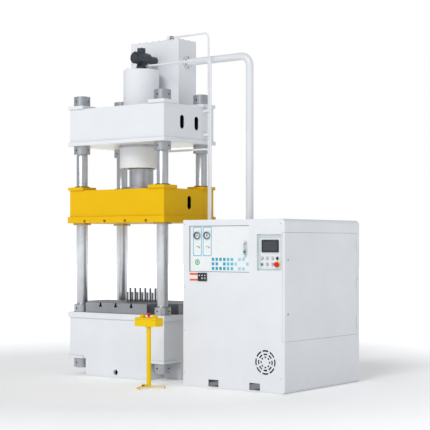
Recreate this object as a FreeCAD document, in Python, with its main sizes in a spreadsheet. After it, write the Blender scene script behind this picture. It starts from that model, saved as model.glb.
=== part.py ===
"""Four-column hydraulic press with its power unit and two-hand control stand.

The frame has +X to the right along the front, +Y to the back and +Z up. Its origin is on the
floor, under the middle of the press. All sizes are millimetres.
"""
import FreeCAD, Part
import math
import os
import re
import Sketcher
from FreeCAD import Placement, Rotation, Vector

# Every driving dimension, written once. Names ending in _x, _y or _z are places, others sizes.
# A bare 1 in a cutter's sum is how far the cutter runs past the face it cuts.
SIZES = {
    # Press frame, as half sizes about the middle, and levels above the floor
    "frame_half_length": 735, "frame_half_depth": 466, "flange_lip": 20, "frame_wall": 35,
    "column_x": 630, "column_y": 365, "column_radius": 67, "column_slack": 1,
    "nut_radius": 97.5, "nut_fit": 0.05, "nut_hole_radius": 10, "nut_hole_depth": 20,
    "pad_width": 240, "tube_radius": 112,
    "base_half_length": 478, "base_wing_depth": 160, "base_height": 205,
    "foot_hole_radius": 33, "foot_hole_z": 67,
    "bed_top": 757, "bed_flange": 65, "bed_corner_flange": 30, "bed_top_plate": 40,
    "bed_nut_low": 92, "bed_nut_high": 846, "column_end": 8,
    # Bolster plate and its T-slots
    "table_top": 880, "table_half_length": 476, "table_wing_length": 720,
    "table_wing_depth": 180, "table_slot_pitch": 240, "table_slot_neck": 28,
    "table_slot_head": 47, "table_slot_head_height": 20, "table_slot_depth": 50,
    # Cushion under the table
    "pin_radius": 13, "pin_slack": 0.5, "pin_pitch": 39.5, "pin_row_offset": 26,
    "pin_top_tall": 1045, "pin_top_short": 996,
    "cushion_plate_top": 690, "cushion_plate_height": 40, "cushion_plate_length": 470,
    "cushion_plate_depth": 130, "cushion_barrel_radius": 110, "cushion_bore_radius": 80,
    "cushion_rod_radius": 55, "cushion_barrel_top": 430, "cushion_wall": 30,
    "cushion_piston_low": 275, "cushion_piston_height": 60, "running_fit": 0.08,
    # Crown
    "crown_bottom": 2755, "crown_top": 3195, "crown_plate": 45, "crown_pad_height": 40,
    "crown_nut_low": 2655, "crown_nut_high": 3350,
    "crown_slot_width": 74, "crown_slot_low": 2913, "crown_slot_high": 3075, "crown_slot_y": 136,
    # Main cylinder and ram
    "barrel_radius": 260, "barrel_neck_radius": 220, "barrel_top_radius": 215,
    "barrel_low": 2555, "barrel_high": 3660, "barrel_cap": 60, "bore_radius": 160,
    "port_radius": 45, "lock_nut_height": 26, "lock_nut_radius": 275, "seat_fit": 0.1,
    "gland_low": 2480, "gland_flange": 75, "gland_high": 2650,
    "seal_low": 2570, "seal_high": 2610, "seal_radius": 156, "seal_slack": 0.4,
    "bolt_radius": 12, "bolt_head_radius": 18, "bolt_head_height": 24, "bolt_slack": 0.5,
    "bolt_reach": 60, "gland_bolt_circle": 212,
    "ram_radius": 145, "ram_neck_radius": 130, "ram_foot_depth": 60,
    "piston_low": 3160, "piston_height": 150,
    "ram_flange_radius": 215, "ram_flange_height": 40, "ram_flange_split": 2,
    "ram_bolt_circle": 180, "boss_radius": 235,
    # Slide
    "slide_bottom": 1825, "slide_plate": 75, "slide_top": 2218, "slide_top_plate": 45,
    "slide_pad_height": 38, "slide_slot_width": 70, "slide_slot_low": 1980,
    "slide_slot_high": 2138, "slide_groove_pitch": 320, "slide_groove_neck": 20,
    "slide_groove_head": 38, "slide_groove_low": 1842, "slide_groove_high": 1860,
    "bush_radius": 88, "bush_length": 170, "bush_flange_radius": 106, "bush_flange_height": 20,
    # Prefill valve and tank
    "valve_foot_radius": 66, "valve_foot_height": 30, "valve_waist_radius": 51,
    "valve_waist_z": 3740, "valve_body_z": 3805, "valve_body_radius": 70,
    "valve_body_half": 122, "valve_neck_radius": 50, "valve_neck_top": 3927,
    "valve_port_radius": 40, "valve_boss_z": 3712, "valve_boss_radius": 20,
    "valve_boss_end": 75, "screw_radius": 5, "screw_head_radius": 8, "screw_head_height": 9,
    "screw_reach": 22, "cover_screw_circle": 57, "neck_screw_circle": 36,
    "tank_half_length": 377, "tank_front_y": 253, "tank_back_y": 583, "tank_top": 4045,
    "tank_wall": 6, "tank_cover_height": 8,
    # Pipes
    "suction_radius": 44.5, "suction_wall": 4, "suction_y": 415, "suction_z": 3775,
    "suction_x": 1305, "suction_bend": 118, "suction_flange_radius": 75,
    "suction_flange_height": 16, "pipe_wall": 3, "pipe_bend": 60, "clamp_height": 30,
    "clamp_rim": 25, "crown_clamp_low": 100, "crown_clamp_drop": 60, "wall_clamp_rise": 230,
    "wall_clamp_drop": 130,
    "pilot_radius": 11, "pilot_y": 285, "pilot_z": 4074, "pilot_gap": 65,
    "pilot_start_x": 220, "pilot_end_z": 1320, "elbow_width": 40, "elbow_height": 50,
    "pressure_radius": 13, "pressure_x": 1046, "pressure_end_z": 1240,
    "return_radius": 12, "return_x": 1000, "return_y": 45, "return_z": 2675,
    "return_end_z": 1160, "return_boss_end": 275,
    # Power unit cabinet
    "cabinet_left": 1135, "cabinet_right": 2490, "cabinet_front_y": -615,
    "cabinet_back_y": 937, "cabinet_height": 1840, "sheet": 4, "cabinet_round": 45,
    "door_low": 548, "door_high": 1697, "door_wrap": 30, "door_gap": 2, "door_back_y": 852,
    "door_lip": 20, "hinge_radius": 7, "hinge_pin_radius": 3, "hinge_fit": 0.05,
    "hinge_length": 40, "hinge_leaf": 3, "hinge_leaf_width": 32, "hinge_gap": 0.5,
    "plinth_height": 120, "plinth_plate": 15, "fork_width": 138, "fork_low": 20,
    "fork_high": 96, "fork_left_x": 1554, "fork_right_x": 2103,
    # Mimic board with gauges and level tube
    "board_left": 1220, "board_right": 2030, "board_low": 1270, "board_high": 1774,
    "board_margin": 15, "board_height": 6, "board_back": 12,
    "gauge_left_x": 1324, "gauge_right_x": 1460, "gauge_z": 1667, "gauge_radius": 43,
    "gauge_wall": 4, "gauge_depth": 18, "gauge_floor": 5, "needle_length": 33,
    "needle_width": 4, "needle_height": 2, "needle_lift": 2,
    "needle_pin_radius": 3, "needle_hub_radius": 6,
    "level_x": 1970, "level_low": 1440, "level_high": 1602, "level_block": 16,
    "level_width": 45, "level_depth": 30, "level_radius": 14, "level_wall": 2.5,
    "float_radius": 11, "float_height": 26, "float_z": 1490,
    # Operator panel
    "tray_left": 2133, "tray_right": 2451, "tray_low": 1293, "tray_high": 1679,
    "tray_depth": 36, "screen_x": 2281, "screen_z": 1553, "screen_width": 212,
    "screen_height": 132, "screen_depth": 14, "screen_rim": 14, "screen_recess": 2,
    "button_left_x": 2174, "button_pitch": 66, "button_low_z": 1358.5, "button_high_z": 1424,
    "ring_radius": 17.5, "ring_height": 6, "cap_radius": 12.8, "cap_slack": 0.3,
    "cap_lift": 5, "cap_height": 9, "stem_radius": 5, "stem_length": 28,
    "stop_head_radius": 26, "stop_head_height": 14, "stop_ring_radius": 30, "stop_reach": 28,
    "knob_bar_width": 8, "knob_bar_length": 28, "knob_bar_height": 12,
    # Cooling fan
    "fan_x": 2242, "fan_z": 324, "fan_ring_radius": 150, "fan_ring_wall": 8,
    "fan_depth": 52, "fan_end_gap": 2,
    "fan_hub_radius": 40, "fan_blade_radius": 132, "fan_spider": 8,
    "fan_blade_root": 15, "fan_blade_chord": 44, "fan_blade_thick": 3,
    "fan_motor_radius": 35, "fan_motor_length": 30, "fan_shaft_radius": 6,
    "grille_outer": 122, "grille_middle": 86, "grille_inner": 54, "grille_slot": 17,
    "grille_spoke": 21,
    # Oil tank, pump set and valve block inside the cabinet
    "oil_left": 1180, "oil_right": 2000, "oil_front_y": 60, "oil_back_y": 880,
    "oil_height": 580, "oil_wall": 5, "motor_left": 1230, "motor_right": 1640,
    "motor_radius": 145, "motor_y": 640, "motor_z": 860, "shaft_radius": 19,
    "coupling_radius": 45, "coupling_left": 1665, "coupling_right": 1745,
    "pump_left": 1770, "pump_right": 1910, "pump_half": 75, "shaft_grip": 60,
    "shaft_fit": 0.05, "block_left": 1400, "block_right": 1800, "block_front_y": 120,
    "block_back_y": 300, "block_height": 180, "coil_radius": 28, "coil_height": 90,
    "coil_start": 60, "coil_pitch": 90, "filler_inset": 120, "motor_foot_inset": 40,
    "terminal_start": 100, "terminal_width": 120, "terminal_rise": 60,
    # Two-hand control stand
    "stand_x": 951, "stand_y": -990, "stand_box_length": 292, "stand_box_depth": 134,
    "stand_box_low": 675, "stand_box_high": 768, "stand_wall": 3, "post_radius": 25,
    "foot_length": 180, "foot_width": 40, "foot_height": 6, "foot_drop": 24,
    "palm_offset": 88, "palm_ring_radius": 30, "palm_ring_height": 32, "palm_radius": 24,
    "palm_cap_height": 18, "crest_radius": 23, "crest_height": 22, "crest_reach": 44,
}

TURNS = {"x": Rotation(Vector(0, 1, 0), 90), "y": Rotation(Vector(1, 0, 0), -90),
         "z": Rotation()}
CORNERS = [("front_left", -1, -1), ("front_right", 1, -1), ("rear_left", -1, 1),
           ("rear_right", 1, 1)]
GAUGES = (("left", "gauge_left_x"), ("right", "gauge_right_x"))
NODES = []

doc = FreeCAD.newDocument("HydraulicPress")
sizes = doc.addObject("Spreadsheet::Sheet", "Sizes")
for row, (alias, amount) in enumerate(SIZES.items(), start=1):
    sizes.set(f"A{row}", alias)
    sizes.set(f"B{row}", str(amount))
    sizes.setAlias(f"B{row}", alias)
doc.recompute()


# ---------------------------------------------------------------- helpers

def on_sheet(rule):
    """Write a sum of named sizes as an expression that reads them from the sheet."""
    return re.sub(r"[a-z_]+", lambda word: "Sizes." + word.group(), str(rule))


def bind(thing, field, rule):
    """Bind one property to a sum of named sizes."""
    thing.setExpression(field, on_sheet(rule))


def settle(thing, x, y, z, turn=None):
    """Turn an object, then bind its place to sums of named sizes."""
    if turn is not None:
        thing.Placement = Placement(Vector(), turn)
    for side, rule in (("x", x), ("y", y), ("z", z)):
        bind(thing, "Placement.Base." + side, rule)
    return thing


def block(name, x, y, z):
    """Make a block from three (low, high) pairs of sums."""
    thing = doc.addObject("Part::Box", name)
    for side, (low, high) in (("Length", x), ("Width", y), ("Height", z)):
        bind(thing, side, f"({high}) - ({low})")
    return settle(thing, x[0], y[0], z[0])


def middle(centre, width):
    """Give the (low, high) pair of a width centred on a place."""
    return f"{centre} - ({width}) / 2", f"{centre} + ({width}) / 2"


def both(half):
    """Give the (low, high) pair of a half size about the middle."""
    return f"-({half})", half


def both_ends(low, high, margin):
    """Give the (low, high) pair of two ends with a margin past each."""
    return f"{low} - {margin}", f"{high} + {margin}"


def rod(name, radius, start, length, axis="z"):
    """Make a round bar from a start point along an axis."""
    thing = doc.addObject("Part::Cylinder", name)
    bind(thing, "Radius", radius)
    bind(thing, "Height", length)
    return settle(thing, *start, TURNS[axis])


def join(name, parts):
    """Weld parts into one."""
    thing = doc.addObject("Part::MultiFuse", name)
    thing.Shapes = list(parts)
    return thing


def cut(name, base, tools):
    """Cut tools out of a base."""
    tools = list(tools)
    thing = doc.addObject("Part::Cut", name)
    thing.Base = base
    thing.Tool = tools[0] if len(tools) == 1 else join(name + "_tools", tools)
    return thing


def shared(name, base, tool):
    """Keep what two parts share."""
    thing = doc.addObject("Part::Common", name)
    thing.Base = base
    thing.Tool = tool
    return thing


def gather(name, parts):
    """Put separate solids in one group."""
    thing = doc.addObject("Part::Compound", name)
    thing.Links = list(parts)
    return thing


def tube(name, outer, inner, start, length, axis="z"):
    """Make a round tube, open at both ends."""
    wall = rod(name + "_wall", outer, start, length, axis)
    hole = rod(name + "_hole", inner, start, length, axis)
    return cut(name, wall, [hole])


def node(label, thing):
    """Name a finished sub-part and keep it for writing."""
    thing.Label = label
    NODES.append(thing)
    return thing


def origin_plane(body, role):
    """Find one of a body's own origin planes."""
    return next(item for item in body.Origin.OriginFeatures if item.Role == role)


def outline(sketch, points):
    """Draw a closed outline whose corners are bound to sums of named sizes."""
    numbers = [tuple(amount(rule) for rule in point) for point in points]
    for index, (x, y) in enumerate(numbers):
        next_x, next_y = numbers[(index + 1) % len(numbers)]
        sketch.addGeometry(Part.LineSegment(Vector(x, y, 0), Vector(next_x, next_y, 0)))
    for index, point in enumerate(points):
        following = (index + 1) % len(points)
        sketch.addConstraint(Sketcher.Constraint("Coincident", index, 2, following, 1))
        for kind, rule, number in zip(("DistanceX", "DistanceY"), point, numbers[index]):
            place = sketch.addConstraint(Sketcher.Constraint(kind, -1, 1, index, 1, number))
            sketch.setExpression(f"Constraints[{place}]", on_sheet(rule))


def amount(rule):
    """Work out a sum of named sizes from the sheet's own values."""
    total = 0.0
    for sign, name, number in re.findall(r"([+-]?)\s*(?:([a-z_]+)|([\d.]+))", str(rule)):
        part = getattr(sizes, name) if name else float(number)
        total += -part if sign == "-" else part
    return total


def turned(name, points, start=("0", "0", "0"), axis="z"):
    """Turn a closed outline of (radius, height) corners about its own axis."""
    body = doc.addObject("PartDesign::Body", name)
    sketch = body.newObject("Sketcher::SketchObject", name + "_outline")
    sketch.AttachmentSupport = [(origin_plane(body, "XZ_Plane"), "")]
    sketch.MapMode = "FlatFace"
    outline(sketch, points)
    spin = body.newObject("PartDesign::Revolution", name + "_turn")
    spin.Profile = sketch
    spin.ReferenceAxis = (sketch, ["V_Axis"])
    spin.Angle = 360
    sketch.Visibility = False
    return settle(body, *start, TURNS[axis])


def obround(name, x, y, width, z):
    """Make a slot cutter through a wall across X, tall and rounded at both ends."""
    half = f"({width}) / 2"
    length = f"({x[1]}) - ({x[0]})"
    core = block(name + "_core", x, middle(y, width),
                 (f"{z[0]} + {half}", f"{z[1]} - {half}"))
    top = rod(name + "_top", half, (x[0], y, f"{z[1]} - {half}"), length, "x")
    bottom = rod(name + "_bottom", half, (x[0], y, f"{z[0]} + {half}"), length, "x")
    return join(name, [core, top, bottom])


def circle_places(radius, count, first=0.0):
    """Give the two sums of each place on a bolt circle."""
    for step in range(count):
        angle = math.radians(first + 360.0 * step / count)
        yield step, f"{math.cos(angle):.9f} * {radius}", f"{math.sin(angle):.9f} * {radius}"


def t_groove(name, x, neck, head, mouth_z, neck_z, floor_z, half_depth):
    """Make a T-slot cutter that runs along Y through a plate."""
    slim = block(name + "_neck", middle(x, neck), both(half_depth), mouth_z)
    wide = block(name + "_head", middle(x, head), both(half_depth), (neck_z, floor_z))
    return join(name, [slim, wide])


def pipe(name, points, radius, wall, bend):
    """Sweep a hollow pipe along straight runs joined by tangent arcs."""
    edges = []
    begin = points[0]
    for before, corner, after in zip(points, points[1:], points[2:]):
        towards = (before - corner).normalize()
        away = (after - corner).normalize()
        enter = corner + towards * bend
        leave = corner + away * bend
        centre = corner + (towards + away) * bend
        halfway = centre + (corner - centre).normalize() * bend
        edges.append(Part.LineSegment(begin, enter).toShape())
        edges.append(Part.Arc(enter, halfway, leave).toShape())
        begin = leave
    edges.append(Part.LineSegment(begin, points[-1]).toShape())
    path = Part.Wire(edges)
    direction = (points[1] - points[0]).normalize()
    skins = []
    for size in (radius, radius - wall):
        ring = Part.Wire([Part.makeCircle(size, points[0], direction)])
        skins.append(path.makePipeShell([ring], True, False))
    thing = doc.addObject("Part::Feature", name)
    thing.Shape = skins[0].cut(skins[1])
    return thing


def place(x, y, z):
    """Make a point from three sums of named sizes."""
    return Vector(amount(x), amount(y), amount(z))


# ---------------------------------------------------------------- press frame

def column_rods(name, radius, low, high):
    """Make one round bar on each column's line."""
    return [rod(f"{name}_{corner}", radius, (f"{sx} * column_x", f"{sy} * column_y", low),
                f"({high}) - ({low})") for corner, sx, sy in CORNERS]


def corner_pads(name, low, high):
    """Make the square pads that the column nuts sit on."""
    return [block(f"{name}_{corner}", middle(f"{sx} * column_x", "pad_width"),
                  middle(f"{sy} * column_y", "pad_width"), (low, high))
            for corner, sx, sy in CORNERS]


def side_slots(name, offsets, width, z):
    """Make the slot cutters through the left and right walls of a beam."""
    cutters = []
    for side, x in (("left", ("-frame_half_length - 1", "-frame_half_length + frame_wall + 1")),
                    ("right", ("frame_half_length - frame_wall - 1", "frame_half_length + 1"))):
        for index, y in enumerate(offsets):
            cutters.append(obround(f"{name}_{side}_{index}", x, y, width, z))
    return cutters


def build_bed():
    """Welded bed on a plus-shaped base, hollow, with tubes where the columns pass."""
    long_y = both("frame_half_depth")
    lip_x = both("frame_half_length + flange_lip")
    lip_y = both("frame_half_depth + flange_lip")
    solid = join("bed_solid", [
        block("bed_body", both("frame_half_length"), long_y, ("base_height", "bed_top")),
        block("bed_flange_plate", lip_x, lip_y, ("bed_top - bed_flange", "bed_top")),
        block("bed_base_middle", both("base_half_length"), long_y, ("0", "base_height")),
        block("bed_base_wings", both("frame_half_length"), both("base_wing_depth"),
              ("0", "base_height")),
    ] + corner_pads("bed_pad", "base_height", "base_height + bed_corner_flange"))
    room = block("bed_room", both("frame_half_length - frame_wall"),
                 both("frame_half_depth - frame_wall"),
                 ("base_height + frame_wall", "bed_top - bed_top_plate"))
    hollow = cut("bed_hollow", room, column_rods("bed_tube", "tube_radius", "base_height",
                                                 "bed_top"))
    well = block("bed_well", both("base_half_length - frame_wall"),
                 both("frame_half_depth - frame_wall"),
                 ("frame_wall", "base_height + frame_wall + 1"))
    door_hole = rod("bed_foot_hole", "foot_hole_radius", ("0", "-frame_half_depth - 1",
                    "foot_hole_z"), "frame_wall + 2", "y")
    holes = column_rods("bed_column_hole", "column_radius + column_slack", "0", "bed_top + 1")
    pins = pin_rods("bed_pin_hole", "pin_radius + pin_slack", "bed_top - bed_top_plate - 1",
                    "bed_top + 1", "bed_top + 1")
    node("bed_frame", cut("bed_frame", solid, [hollow, well, door_hole] + holes + pins))


def build_table():
    """Plus-shaped bolster plate with three T-slots and the cushion pin holes."""
    depth = "frame_half_depth + 1"
    z = ("bed_top", "table_top")
    solid = join("table_solid", [
        block("table_middle", both("table_half_length"), both("frame_half_depth"), z),
        block("table_wings", both("table_wing_length"), both("table_wing_depth"), z)])
    floor = "table_top - table_slot_depth"
    grooves = [t_groove(f"table_groove_{step + 1}", f"{step} * table_slot_pitch",
                        "table_slot_neck", "table_slot_head", (floor, "table_top + 1"), floor,
                        floor + " + table_slot_head_height", depth) for step in (-1, 0, 1)]
    pins = pin_rods("table_pin_hole", "pin_radius + pin_slack", "bed_top - 1", "table_top + 1",
                    "table_top + 1")
    node("bolster_plate", cut("bolster_plate", solid, grooves + pins))


def build_columns():
    """Four plated columns and the sixteen nuts that clamp the beams on them."""
    columns = column_rods("column", "column_radius", "bed_nut_low - column_end",
                          "crown_nut_high + column_end")
    node("guide_columns", gather("guide_columns", columns))
    nuts = []
    for level, low, high in (("foot", "bed_nut_low", "base_height"),
                             ("bed", "bed_top", "bed_nut_high"),
                             ("hanger", "crown_nut_low", "crown_bottom"),
                             ("cap", "crown_top + crown_pad_height", "crown_nut_high")):
        blanks = column_rods(f"nut_blank_{level}", "nut_radius", low, high)
        bores = column_rods(f"nut_bore_{level}", "column_radius + nut_fit", low, high)
        for (corner, sx, sy), blank, bore in zip(CORNERS, blanks, bores):
            key = f"nut_key_{level}_{corner}"
            x, y, z = f"{sx} * column_x", f"{sy} * column_y", f"({low} + {high}) / 2"
            reach = "nut_radius - nut_hole_depth"
            depth = "nut_hole_depth + 1"
            keys = [rod(key + "_right", "nut_hole_radius", (f"{x} + {reach}", y, z), depth, "x"),
                    rod(key + "_left", "nut_hole_radius", (f"{x} - nut_radius - 1", y, z),
                        depth, "x"),
                    rod(key + "_back", "nut_hole_radius", (x, f"{y} + {reach}", z), depth, "y"),
                    rod(key + "_front", "nut_hole_radius", (x, f"{y} - nut_radius - 1", z),
                        depth, "y")]
            nuts.append(cut(f"nut_{level}_{corner}", blank, [bore] + keys))
    node("column_nuts", gather("column_nuts", nuts))


def build_crown():
    """Welded crown beam, hollow, with a centre tube for the main cylinder."""
    solid = join("crown_solid", [
        block("crown_body", both("frame_half_length"), both("frame_half_depth"),
              ("crown_bottom", "crown_top")),
        block("crown_bottom_plate", both("frame_half_length + flange_lip"),
              both("frame_half_depth + flange_lip"),
              ("crown_bottom", "crown_bottom + crown_plate")),
    ] + corner_pads("crown_pad", "crown_top", "crown_top + crown_pad_height"))
    room = block("crown_room", both("frame_half_length - frame_wall"),
                 both("frame_half_depth - frame_wall"),
                 ("crown_bottom + crown_plate", "crown_top - crown_plate"))
    core = rod("crown_core", "barrel_neck_radius + frame_wall", ("0", "0", "crown_bottom"),
               "crown_top - crown_bottom")
    tubes = column_rods("crown_tube", "tube_radius", "crown_bottom", "crown_top")
    hollow = cut("crown_hollow", room, [core] + tubes)
    bores = [rod("crown_bore_low", "barrel_neck_radius + seat_fit", ("0", "0",
                 "crown_bottom - 1"), "crown_top - crown_bottom - crown_plate + 1"),
             rod("crown_bore_high", "barrel_top_radius + seat_fit", ("0", "0", "crown_bottom"),
                 "crown_top - crown_bottom + 1")]
    holes = column_rods("crown_column_hole", "column_radius + column_slack", "crown_bottom - 1",
                        "crown_top + crown_pad_height + 1")
    slots = side_slots("crown_slot", ("-crown_slot_y", "crown_slot_y"), "crown_slot_width",
                       ("crown_slot_low", "crown_slot_high"))
    node("crown_frame", cut("crown_frame", solid, [hollow] + bores + holes + slots))


# ---------------------------------------------------------------- main cylinder

def build_cylinder():
    """Cylinder barrel through the crown, its lock nut, gland, packing and gland bolts."""
    shoulder = "crown_bottom - lock_nut_height"
    under_plate = "crown_top - crown_plate"
    barrel = turned("barrel_turned", [
        ("bore_radius", "barrel_low"), ("barrel_radius", "barrel_low"),
        ("barrel_radius", shoulder), ("barrel_neck_radius", shoulder),
        ("barrel_neck_radius", under_plate), ("barrel_top_radius", under_plate),
        ("barrel_top_radius", "barrel_high"), ("port_radius", "barrel_high"),
        ("port_radius", "barrel_high - barrel_cap"), ("bore_radius", "barrel_high - barrel_cap")])
    boss = rod("barrel_boss", "valve_boss_radius", ("barrel_radius - frame_wall", "return_y",
               "return_z"), "return_boss_end - barrel_radius + frame_wall", "x")
    duct = rod("barrel_duct", "return_radius - pipe_wall", ("bore_radius - port_radius", "return_y",
               "return_z"), "return_boss_end", "x")
    threads = bolt_rods("barrel_thread", "bolt_radius + nut_fit", "gland_bolt_circle", 12,
                        "barrel_low - 1", "barrel_low + bolt_reach + 1")
    node("cylinder_barrel", cut("cylinder_barrel", join("barrel_welded", [barrel, boss]),
                                [duct] + threads))
    node("cylinder_lock_nut", tube("lock_nut", "lock_nut_radius", "barrel_neck_radius + nut_fit",
                                   ("0", "0", shoulder), "lock_nut_height"))
    inner = "ram_radius + running_fit"
    flange_top = "gland_low + gland_flange"
    gland = turned("gland_turned", [
        (inner, "gland_low"), ("barrel_radius", "gland_low"), ("barrel_radius", flange_top),
        ("bore_radius - seat_fit", flange_top), ("bore_radius - seat_fit", "gland_high"),
        (inner, "gland_high"), (inner, "seal_high"), ("seal_radius", "seal_high"),
        ("seal_radius", "seal_low"), (inner, "seal_low")])
    clear = bolt_rods("gland_clear", "bolt_radius + bolt_slack", "gland_bolt_circle", 12,
                      "gland_low - 1", flange_top + " + 1")
    sunk = bolt_rods("gland_sunk", "bolt_head_radius + 1", "gland_bolt_circle", 12,
                     "gland_low - 1", "gland_low + bolt_head_height")
    node("cylinder_gland", cut("cylinder_gland", gland, clear + sunk))
    node("ram_seals", tube("seals", "seal_radius - nut_fit", "ram_radius + seal_slack",
                           ("0", "0", "seal_low"), "seal_high - seal_low"))
    heads = bolt_rods("gland_head", "bolt_head_radius", "gland_bolt_circle", 12, "gland_low",
                      "gland_low + bolt_head_height")
    shanks = bolt_rods("gland_shank", "bolt_radius", "gland_bolt_circle", 12,
                       "gland_low + bolt_head_height", "barrel_low + bolt_reach")
    node("gland_bolts", gather("gland_bolts", [join(f"gland_bolt_{step}", pair) for step, pair
                                               in enumerate(zip(heads, shanks))]))


def bolt_rods(name, radius, circle, count, low, high, first=0.0):
    """Make upright round bars on a bolt circle about the press's middle."""
    return [rod(f"{name}_{step}", radius, (x, y, low), f"({high}) - ({low})")
            for step, x, y in circle_places(circle, count, first)]


def build_ram():
    """Main ram with its piston, and the split flange that clamps it to the slide."""
    neck_high = "slide_top + ram_flange_height"
    piston_high = "piston_low + piston_height"
    node("main_ram", turned("main_ram", [
        ("0", "slide_top - ram_foot_depth"), ("ram_radius", "slide_top - ram_foot_depth"),
        ("ram_radius", "slide_top"), ("ram_neck_radius", "slide_top"),
        ("ram_neck_radius", neck_high), ("ram_radius", neck_high), ("ram_radius", "piston_low"),
        ("bore_radius - running_fit", "piston_low"), ("bore_radius - running_fit", piston_high),
        ("0", piston_high)]))
    ring = tube("ram_flange_ring", "ram_flange_radius", "ram_neck_radius + seat_fit",
                ("0", "0", "slide_top"), "ram_flange_height - seat_fit")
    split = block("ram_flange_gap", middle("0", "ram_flange_split"),
                  both("ram_flange_radius + 1"), ("slide_top - 1", neck_high + " + 1"))
    clear = bolt_rods("flange_clear", "bolt_radius + bolt_slack", "ram_bolt_circle", 8,
                      "slide_top - 1", neck_high, 22.5)
    sunk = bolt_rods("flange_sunk", "bolt_head_radius + 1", "ram_bolt_circle", 8,
                     neck_high + " - bolt_head_height", neck_high + " + 1", 22.5)
    node("ram_flange", cut("ram_flange", ring, [split] + clear + sunk))
    heads = bolt_rods("flange_head", "bolt_head_radius", "ram_bolt_circle", 8,
                      neck_high + " - bolt_head_height", neck_high + " - seat_fit", 22.5)
    shanks = bolt_rods("flange_shank", "bolt_radius", "ram_bolt_circle", 8,
                       "slide_top - bolt_reach", neck_high + " - bolt_head_height", 22.5)
    node("ram_flange_bolts", gather("ram_flange_bolts", [join(f"flange_bolt_{step}", pair)
                                    for step, pair in enumerate(zip(heads, shanks))]))


def build_slide():
    """Welded slide with T-slots below, and the bronze bushes that run on the columns."""
    solid = join("slide_solid", [
        block("slide_body", both("frame_half_length"), both("frame_half_depth"),
              ("slide_bottom", "slide_top")),
        block("slide_bottom_plate", both("frame_half_length + flange_lip"),
              both("frame_half_depth + flange_lip"),
              ("slide_bottom", "slide_bottom + slide_plate")),
    ] + corner_pads("slide_pad", "slide_top", "slide_top + slide_pad_height"))
    room = block("slide_room", both("frame_half_length - frame_wall"),
                 both("frame_half_depth - frame_wall"),
                 ("slide_bottom + slide_plate", "slide_top - slide_top_plate"))
    core = rod("slide_core", "boss_radius", ("0", "0", "slide_bottom"),
               "slide_top - slide_bottom")
    tubes = column_rods("slide_tube", "tube_radius", "slide_bottom", "slide_top")
    hollow = cut("slide_hollow", room, [core] + tubes)
    socket = rod("slide_socket", "ram_radius + seat_fit", ("0", "0",
                 "slide_top - ram_foot_depth"), "ram_foot_depth + 1")
    holes = column_rods("slide_column_hole", "bush_radius + nut_fit", "slide_bottom - 1",
                        "slide_top + slide_pad_height + 1")
    threads = bolt_rods("slide_thread", "bolt_radius + nut_fit", "ram_bolt_circle", 8,
                        "slide_top - bolt_reach - 1", "slide_top + 1", 22.5)
    slots = side_slots("slide_slot", ("0",), "slide_slot_width",
                       ("slide_slot_low", "slide_slot_high"))
    grooves = [t_groove(f"slide_groove_{index}", f"{step} * slide_groove_pitch",
                        "slide_groove_neck", "slide_groove_head",
                        ("slide_bottom - 1", "slide_groove_high"), "slide_groove_low",
                        "slide_groove_high", "frame_half_depth + flange_lip + 1")
               for index, step in enumerate((-1.5, -0.5, 0.5, 1.5))]
    node("slide_frame", cut("slide_frame", solid,
                            [hollow, socket] + holes + threads + slots + grooves))
    bushes = []
    bore = "column_radius + running_fit"
    top = "slide_top + slide_pad_height"
    for corner, sx, sy in CORNERS:
        start = (f"{sx} * column_x", f"{sy} * column_y", "0")
        bushes.append(turned(f"bush_low_{corner}", [
            (bore, "slide_bottom - bush_flange_height"),
            ("bush_flange_radius", "slide_bottom - bush_flange_height"),
            ("bush_flange_radius", "slide_bottom"), ("bush_radius", "slide_bottom"),
            ("bush_radius", "slide_bottom + bush_length"), (bore, "slide_bottom + bush_length")],
            start))
        bushes.append(tube(f"bush_high_{corner}", "bush_radius", bore,
                           (start[0], start[1], top + " - bush_length"), "bush_length"))
    node("slide_bushes", gather("slide_bushes", bushes))


# ---------------------------------------------------------------- cushion

def pin_rods(name, radius, low, tall_high, short_high):
    """Make one upright bar on each cushion pin's line, a tall row behind a short row."""
    rods = []
    for row, offset, high in (("tall", 1, tall_high), ("short", -1, short_high)):
        for step in (-5, -3, -1, 1, 3, 5):
            rods.append(rod(f"{name}_{row}_{step + 5}", radius,
                            (f"{step} * pin_pitch", f"{offset} * pin_row_offset", low),
                            f"({high}) - ({low})"))
    return rods


def build_cushion():
    """Cushion cylinder in the bed, its ram, the pressure plate and the pins."""
    wall = "frame_wall + cushion_wall"
    lid = "cushion_barrel_top - cushion_wall"
    node("cushion_cylinder", turned("cushion_cylinder", [
        ("0", "frame_wall"), ("cushion_barrel_radius", "frame_wall"),
        ("cushion_barrel_radius", "cushion_barrel_top"),
        ("cushion_rod_radius + running_fit", "cushion_barrel_top"),
        ("cushion_rod_radius + running_fit", lid), ("cushion_bore_radius", lid),
        ("cushion_bore_radius", wall), ("0", wall)]))
    piston = "cushion_bore_radius - running_fit"
    piston_high = "cushion_piston_low + cushion_piston_height"
    plate_low = "cushion_plate_top - cushion_plate_height"
    node("cushion_ram", turned("cushion_ram", [
        ("0", "cushion_piston_low"), (piston, "cushion_piston_low"), (piston, piston_high),
        ("cushion_rod_radius", piston_high), ("cushion_rod_radius", plate_low),
        ("0", plate_low)]))
    node("cushion_plate", block("cushion_plate", middle("0", "cushion_plate_length"),
                                middle("0", "cushion_plate_depth"),
                                (plate_low, "cushion_plate_top")))
    node("cushion_pins", gather("cushion_pins", pin_rods(
        "pin", "pin_radius", "cushion_plate_top", "pin_top_tall", "pin_top_short")))


# ---------------------------------------------------------------- prefill valve, tank, pipes

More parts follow.
